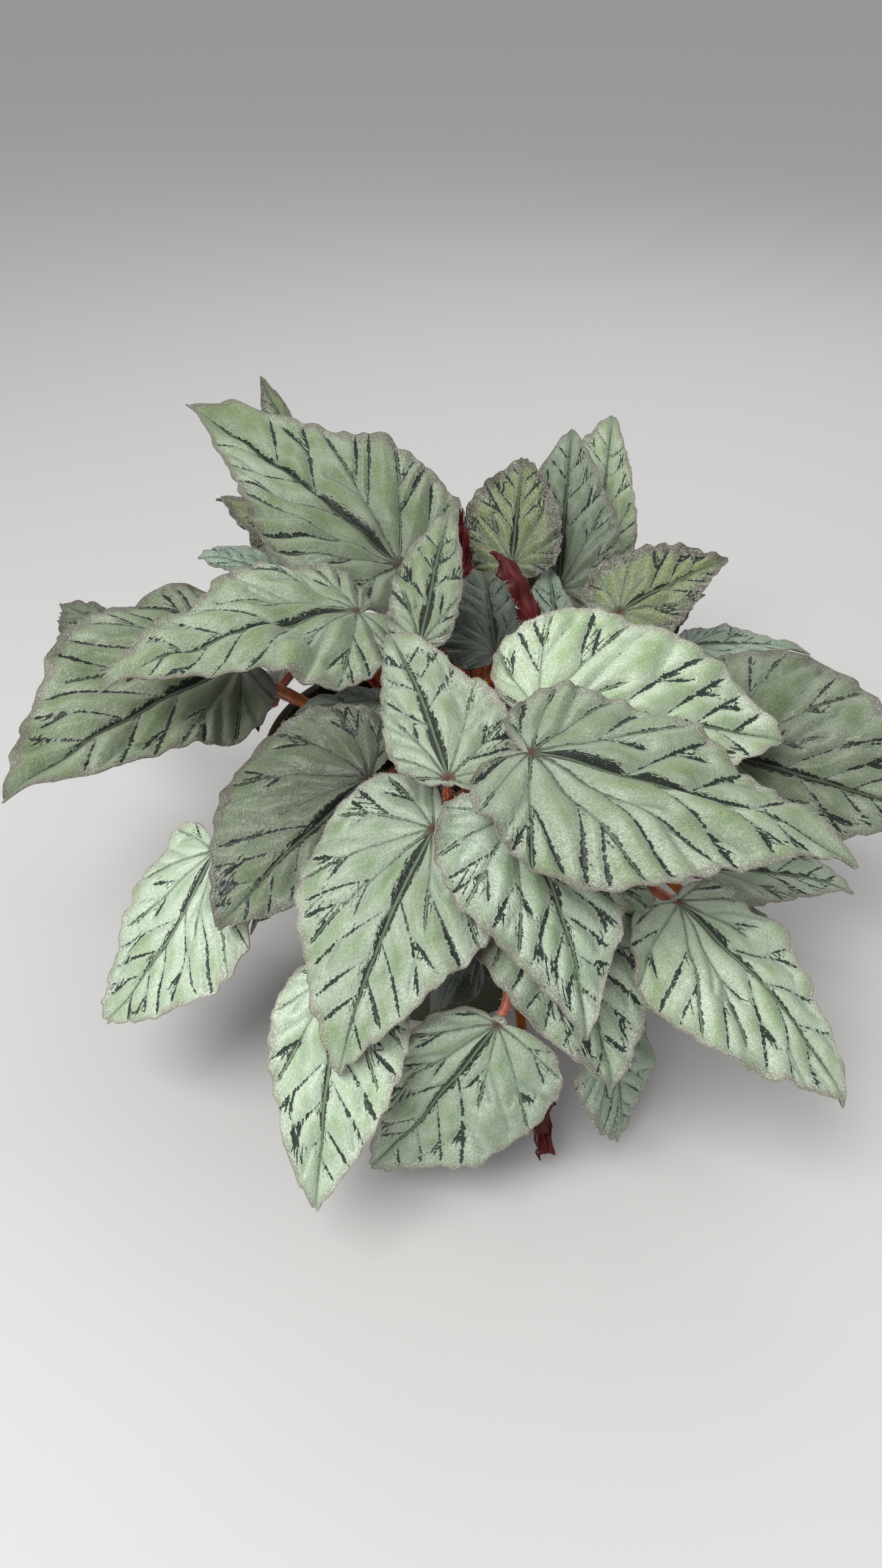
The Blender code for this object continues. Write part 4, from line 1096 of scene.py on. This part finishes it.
class LeafSettings(bpy.types.PropertyGroup):
    """Sizes and colours of the leaf blades."""
    thickness: number("Thickness", "Thickness of a blade", 0.0007, 0.0003, 0.0015, "LENGTH")
    cell: number("Cell", "Spacing of the blade's points", 0.0021, 0.001, 0.01, "LENGTH")
    teeth: number("Teeth", "Small teeth on each half of a long blade's margin",
                  26.0, 0.0, 60.0)
    scallops: number("Scallops", "Round lobes on each half of the margin", 14.0, 0.0, 40.0)
    flutter: number("Flutter", "Rise and fall of the margin, as a share of the length",
                    0.009, 0.0, 0.05)
    tooth_depth: number("Tooth depth", "Depth of the small teeth",
                        0.0012, 0.0, 0.003, "LENGTH")
    pucker_height: number("Pucker height", "How far the blade swells between its veins",
                          0.0032, 0.0, 0.005, "LENGTH")
    pucker_width: number("Pucker width", "Distance from a vein to the swelling's shoulder",
                         0.0035, 0.001, 0.01, "LENGTH")
    silver_colour: colour("Silver", "Colour of the silvery skin", "#BFCDB4")
    green_colour: colour("Green", "Colour of the greener patches", "#7D995E")
    # Colour of the painted glints on the skin cells
    painted_glint_colour: colour("Speckle", "Colour of the glinting skin cells", "#DCE3D8")
    young_colour: colour("Young green", "Colour of the young blades", "#8E9A52")
    shade_colour: colour("Shade green", "Colour of the blades deep in the plant", "#6C9A8C")
    # Darker green of the veins, also used as painted shade in the skin's hollows and the veins'
    # grooves
    vein_and_painted_shade_colour: colour("Vein green", "Darker skin beside the veins", "#6F8570")
    rib_colour: colour("Rib", "Colour of the main veins", "#7D8C6E")
    margin_colour: colour("Margin", "Greyish mauve of the margin", "#958C81")
    brown_colour: colour("Young margin", "Brown of a young blade's margin", "#4C2C26")
    rim_colour: colour("Rim", "Line at the very edge", "#857A6E")
    stroke_colour: colour("Strokes", "Near-black green beside the veins", "#1E2622")
    star_colour: colour("Star", "Red where the stalk meets the blade", "#66301C")
    back_colour: colour("Under side", "Crimson of the under side", "#56050C")
    seed: whole("Seed", "Start of the random draws", 7, 0, 9999)


class HairSettings(bpy.types.PropertyGroup):
    """Sizes of the hairs on margins and stalks."""
    length: number("Length", "Length of a hair", 0.0016, 0.0002, 0.005, "LENGTH")
    radius: number("Radius", "Radius of a hair at its root",
                   0.00009, 0.00002, 0.0005, "LENGTH")
    margin_spacing: number("Margin spacing", "Distance between hairs along a margin",
                           0.0013, 0.0003, 0.01, "LENGTH")
    on_stalk: whole("On each stalk", "Hairs on each stalk", 220, 0, 1000)


class StageSettings(bpy.types.PropertyGroup):
    """Floor and light."""
    floor_colour: colour("Floor", "Colour of the plain floor", "#DEDDDA")
    sky: number("Sky", "Strength of the even light", 0.45, 0.0, 5.0)
    key: number("Key light", "Power of the large lamp", 17.0, 0.0, 500.0, "POWER")


# The outer two rings of each blade's points, which the blades leave for their hairs
MARGINS = {}


class BEGONIA_OT_pot(bpy.types.Operator):
    """Make the moulded pot with its rolled rim and drain holes"""
    bl_idname = "begonia.pot"
    bl_label = "Pot"

    def execute(self, context):
        settings = context.scene.begonia_pot
        shoulder = POT_HEIGHT - LIP_HEIGHT
        inner_top = POT_RIM_RADIUS - LIP_STEP - POT_WALL
        profile = (
            (0.0, 0.0), (POT_BASE_RADIUS - 2, 0.0), (POT_BASE_RADIUS - 0.6, 0.6),
            (POT_BASE_RADIUS, 2.0), (pot_radius(shoulder), shoulder),
            (POT_RIM_RADIUS - 0.8, shoulder + 0.3), (POT_RIM_RADIUS - 0.2, shoulder + 1.0),
            (POT_RIM_RADIUS, POT_HEIGHT - 1.8), (POT_RIM_RADIUS - 0.4, POT_HEIGHT - 0.6),
            (POT_RIM_RADIUS - 1.4, POT_HEIGHT), (inner_top + 1.2, POT_HEIGHT),
            (inner_top + 0.3, POT_HEIGHT - 0.4), (inner_top, POT_HEIGHT - 1.4),
            (pot_radius(shoulder) - POT_WALL, shoulder),
            (pot_radius(POT_FLOOR) - POT_WALL, POT_FLOOR), (0.0, POT_FLOOR),
        )
        points, faces = lathe(profile, settings.sides)
        obj = make_mesh("moulded_pot", points, faces, [pot_material(settings)])
        for hole in range(DRAIN_HOLES):
            turn = hole * FULL_TURN / DRAIN_HOLES
            place = (DRAIN_CIRCLE * MM * math.cos(turn), DRAIN_CIRCLE * MM * math.sin(turn),
                     0.0)
            bpy.ops.mesh.primitive_cylinder_add(vertices=24, radius=DRAIN_RADIUS * MM,
                                                depth=4 * POT_FLOOR * MM, location=place)
            cutter = context.object
            change = obj.modifiers.new("drain", "BOOLEAN")
            change.operation = "DIFFERENCE"
            change.object = cutter
            depsgraph = context.evaluated_depsgraph_get()
            result = bpy.data.meshes.new_from_object(obj.evaluated_get(depsgraph))
            obj.modifiers.clear()
            obj.data = result
            bpy.data.objects.remove(cutter)
        obj.data.shade_smooth()
        obj.data.set_sharp_from_angle(angle=math.radians(POT_SHARP_DEG))
        finish_piece(obj, "pot", "pot")
        return {"FINISHED"}


class BEGONIA_OT_soil(bpy.types.Operator):
    """Make the mounded, lumpy filling of soil"""
    bl_idname = "begonia.soil"
    bl_label = "Soil"

    def execute(self, context):
        settings = context.scene.begonia_soil
        draw = np.random.default_rng(SOIL_SEED)
        low = POT_FLOOR + CLEARANCE
        wall = POT_WALL + CLEARANCE
        rim = pot_radius(SOIL_TOP) - wall
        reach = np.linspace(rim, SOIL_LEAST_RADIUS, SOIL_RINGS)
        mound = SOIL_TOP + SOIL_MOUND * np.clip((rim - reach) / (rim - SOIL_FLAT_RADIUS), 0, 1)
        profile = [(0.0, low), (pot_radius(low) - wall, low), (rim, SOIL_TOP)]
        profile += list(zip(reach[1:], mound[1:])) + [(0.0, SOIL_TOP + SOIL_MOUND)]
        points, faces = lathe(profile, SOIL_SIDES)
        top = points[:, 2] > (SOIL_TOP + 0.01) * MM
        lumps = sum(strength * smooth_waves(points[:, :2], wave, draw)
                    for wave, strength in SOIL_LUMPS) * settings.lumps - settings.lumps
        points[:, 2] += np.where(top, lumps, 0.0)
        obj = make_mesh("potting_soil", points, faces, [soil_material(settings)],
                        SOIL_SHARP_DEG)
        finish_piece(obj, "soil", "soil")
        return {"FINISHED"}


class BEGONIA_OT_stalks(bpy.types.Operator):
    """Make the leaf stalks and the creeping rhizome that they grow from"""
    bl_idname = "begonia.stalks"
    bl_label = "Stalks"

    def execute(self, context):
        settings = context.scene.begonia_stalks
        hairs = context.scene.begonia_hairs
        draw = np.random.default_rng(STALK_SEED)
        hair_count = hairs.on_stalk
        tubes, roots, ways = [], [], []
        for blade in BLADES:
            path = stalk_path(blade)
            run = np.linspace(0, 1, len(path))
            radii = settings.base_radius + run * (settings.top_radius - settings.base_radius)
            radii[-len(NECK_TAPER):] *= NECK_TAPER
            grid, ring = tube_grid(path, radii, STALK_SIDES)
            salmon = SALMON * (blade.name in SALMON_STALKS)
            tubes.append((grid, (draw.uniform(*STALK_REDS), salmon, 0.0)))
            step = draw.integers(STALK_BARE_STEPS, len(path) - 2, hair_count)
            turn = draw.integers(0, STALK_SIDES, hair_count)
            slide = draw.uniform(0, 1, (hair_count, 1))
            roots.append(grid[step, turn] + slide * (grid[step + 1, turn] - grid[step, turn]))
            scatter = draw.normal(size=(hair_count, 3))
            ways.append(ring[step, turn] + STALK_HAIR_SCATTER * scatter)
        level = MM * (SOIL_TOP + SOIL_MOUND + RHIZOME_RADIUS + CLEARANCE)
        run = np.linspace(0, 1, RHIZOME_STEPS)
        reach = run * (RHIZOME_ARM + RHIZOME_TIP) * MM
        scars = 1 + SCAR_HEIGHT * np.sin(reach / MM * FULL_TURN / SCAR_SPACING)
        radii = (RHIZOME_RADIUS * MM * (1 - RHIZOME_TAPER * run ** 3) * scars
                 * RHIZOME_SHRINK)
        for arm in range(RHIZOME_ARMS):
            turn = arm * FULL_TURN / RHIZOME_ARMS + math.radians(ARM_TURN)
            path = np.stack((reach * math.cos(turn), reach * math.sin(turn),
                             level + RHIZOME_RISE * reach), axis=1)
            tubes.append((tube_grid(path, radii, RHIZOME_SIDES)[0], (RHIZOME_RED, 0.0, 0.0)))
        points, traits, quads, caps = [], [], [], []
        shift = 0
        for grid, trait in tubes:
            steps, sides = grid.shape[:2]
            points.append(grid.reshape(-1, 3))
            traits.append(np.tile(trait, (steps * sides, 1)))
            between, *ends = tube_faces(steps, sides, shift)
            quads.append(between)
            caps += ends
            shift += steps * sides
        obj = make_mesh("leaf_stalks", np.concatenate(points), [np.concatenate(quads)] + caps,
                        [stalk_material(settings)], SHARP_DEG,
                        fields={"trait": np.concatenate(traits)})
        finish_piece(obj, "stem", "stems")
        roots, ways = np.concatenate(roots), np.concatenate(ways)
        lengths = hairs.length * draw.uniform(*STALK_HAIR_LENGTHS, len(roots))
        spikes, corners = hair_mesh(roots, ways, lengths, hairs.radius)
        finish_piece(make_mesh("stalk_hairs", spikes, [corners], [hair_material()]), "stem")
        return {"FINISHED"}


class BEGONIA_OT_blades(bpy.types.Operator):
    """Make every leaf blade with its veins, puckers and teeth"""
    bl_idname = "begonia.blades"
    bl_label = "Leaf blades"

    def execute(self, context):
        settings = context.scene.begonia_leaf
        face = leaf_face_material(settings)
        back = leaf_back_material(settings)
        for place, blade in enumerate(BLADES):
            draw = np.random.default_rng(settings.seed + place)
            materials = [back, back] if blade.name in RED_BLADES else [face, back]
            MARGINS[blade.name] = blade_piece(blade, settings, materials, draw)
        return {"FINISHED"}


class BEGONIA_OT_hairs(bpy.types.Operator):
    """Make the pale hairs along the blades' margins"""
    bl_idname = "begonia.hairs"
    bl_label = "Margin hairs"

    def execute(self, context):
        if not MARGINS:
            raise RuntimeError("the blades come before their hairs")
        settings = context.scene.begonia_hairs
        draw = np.random.default_rng(HAIR_SEED)
        parts = [margin_hairs(rim, inner, settings.margin_spacing, settings.length, draw)
                 for rim, inner in MARGINS.values()]
        roots, ways, lengths = (np.concatenate(part) for part in zip(*parts))
        points, faces = hair_mesh(roots, ways, lengths, settings.radius)
        finish_piece(make_mesh("margin_hairs", points, [faces], [hair_material()]), "leaf")
        return {"FINISHED"}


class BEGONIA_OT_stage(bpy.types.Operator):
    """Make the plain floor, the soft lights and the camera"""
    bl_idname = "begonia.stage"
    bl_label = "Stage"

    def execute(self, context):
        scene = context.scene
        settings = scene.begonia_stage
        corners = FLOOR_REACH * np.array(((-1, -1, 0), (1, -1, 0), (1, 1, 0), (-1, 1, 0)), float)
        material = new_material("matt_floor", Roughness=0.8,
                                Base_Color=(*settings.floor_colour, 1.0))
        floor = make_mesh("floor", corners, [np.array(((0, 1, 2, 3),))], [material])
        world = scene.world = bpy.data.worlds.new("even_light")
        world.use_nodes = True
        sky = world.node_tree.nodes["Background"]
        sky.inputs["Color"].default_value = (*linear("#F1F4F8"), 1.0)
        sky.inputs["Strength"].default_value = settings.sky
        for name, place, share in LAMPS:
            data = bpy.data.lights.new(name, "AREA")
            data.size = LAMP_SIZE
            data.energy = share * settings.key
            lamp = bpy.data.objects.new(name, data)
            way = LAMP_AIM - np.array(place)
            lamp.location = place
            lamp.rotation_euler = (math.atan2(math.hypot(way[0], way[1]), -way[2]), 0.0,
                                   math.atan2(-way[0], way[1]))
            scene.collection.objects.link(lamp)
        data = bpy.data.cameras.new("camera")
        data.sensor_width = SENSOR_MM
        data.lens = SENSOR_MM * LENS_PX / max(PICTURE_PX)
        data.clip_start = NEAREST_SEEN
        camera = bpy.data.objects.new("camera", data)
        camera.location = EYE
        camera.rotation_euler = (math.radians(90.0 - PITCH_DEG), 0.0, 0.0)
        scene.collection.objects.link(camera)
        scene.camera = camera
        scene.view_settings.view_transform = "Standard"
        return {"FINISHED"}


class BEGONIA_PT_panel(bpy.types.Panel):
    """Lists the pieces and their settings in the sidebar"""
    bl_idname = "BEGONIA_PT_panel"
    bl_label = "Potted Begonia"
    bl_space_type = "VIEW_3D"
    bl_region_type = "UI"
    bl_category = "Begonia"

    def draw(self, context):
        for operator, group in PIECES:
            box = self.layout.box()
            box.operator(operator.bl_idname)
            if group is None:
                continue
            settings = getattr(context.scene, group)
            for name in settings.__annotations__:
                box.prop(settings, name)


GROUPS = (
    ("begonia_pot", PotSettings), ("begonia_soil", SoilSettings),
    ("begonia_stalks", StalkSettings), ("begonia_leaf", LeafSettings),
    ("begonia_hairs", HairSettings), ("begonia_stage", StageSettings),
)
PIECES = (
    (BEGONIA_OT_pot, "begonia_pot"), (BEGONIA_OT_soil, "begonia_soil"),
    (BEGONIA_OT_stalks, "begonia_stalks"), (BEGONIA_OT_blades, "begonia_leaf"),
    (BEGONIA_OT_hairs, "begonia_hairs"), (BEGONIA_OT_stage, "begonia_stage"),
)


def register():
    """Register the settings, the operators and the panel."""
    for name, group in GROUPS:
        bpy.utils.register_class(group)
        setattr(bpy.types.Scene, name, bpy.props.PointerProperty(type=group))
    for operator, _ in PIECES:
        bpy.utils.register_class(operator)
    bpy.utils.register_class(BEGONIA_PT_panel)


def unregister():
    """Take the panel, the operators and the settings away again."""
    bpy.utils.unregister_class(BEGONIA_PT_panel)
    for operator, _ in reversed(PIECES):
        bpy.utils.unregister_class(operator)
    for name, group in reversed(GROUPS):
        delattr(bpy.types.Scene, name)
        bpy.utils.unregister_class(group)


def main():
    """Make every piece in order."""
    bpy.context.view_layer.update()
    register()
    for operator, _ in PIECES:
        group, name = operator.bl_idname.split(".")
        getattr(getattr(bpy.ops, group), name)()
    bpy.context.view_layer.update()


if __name__ == "__main__":
    main()
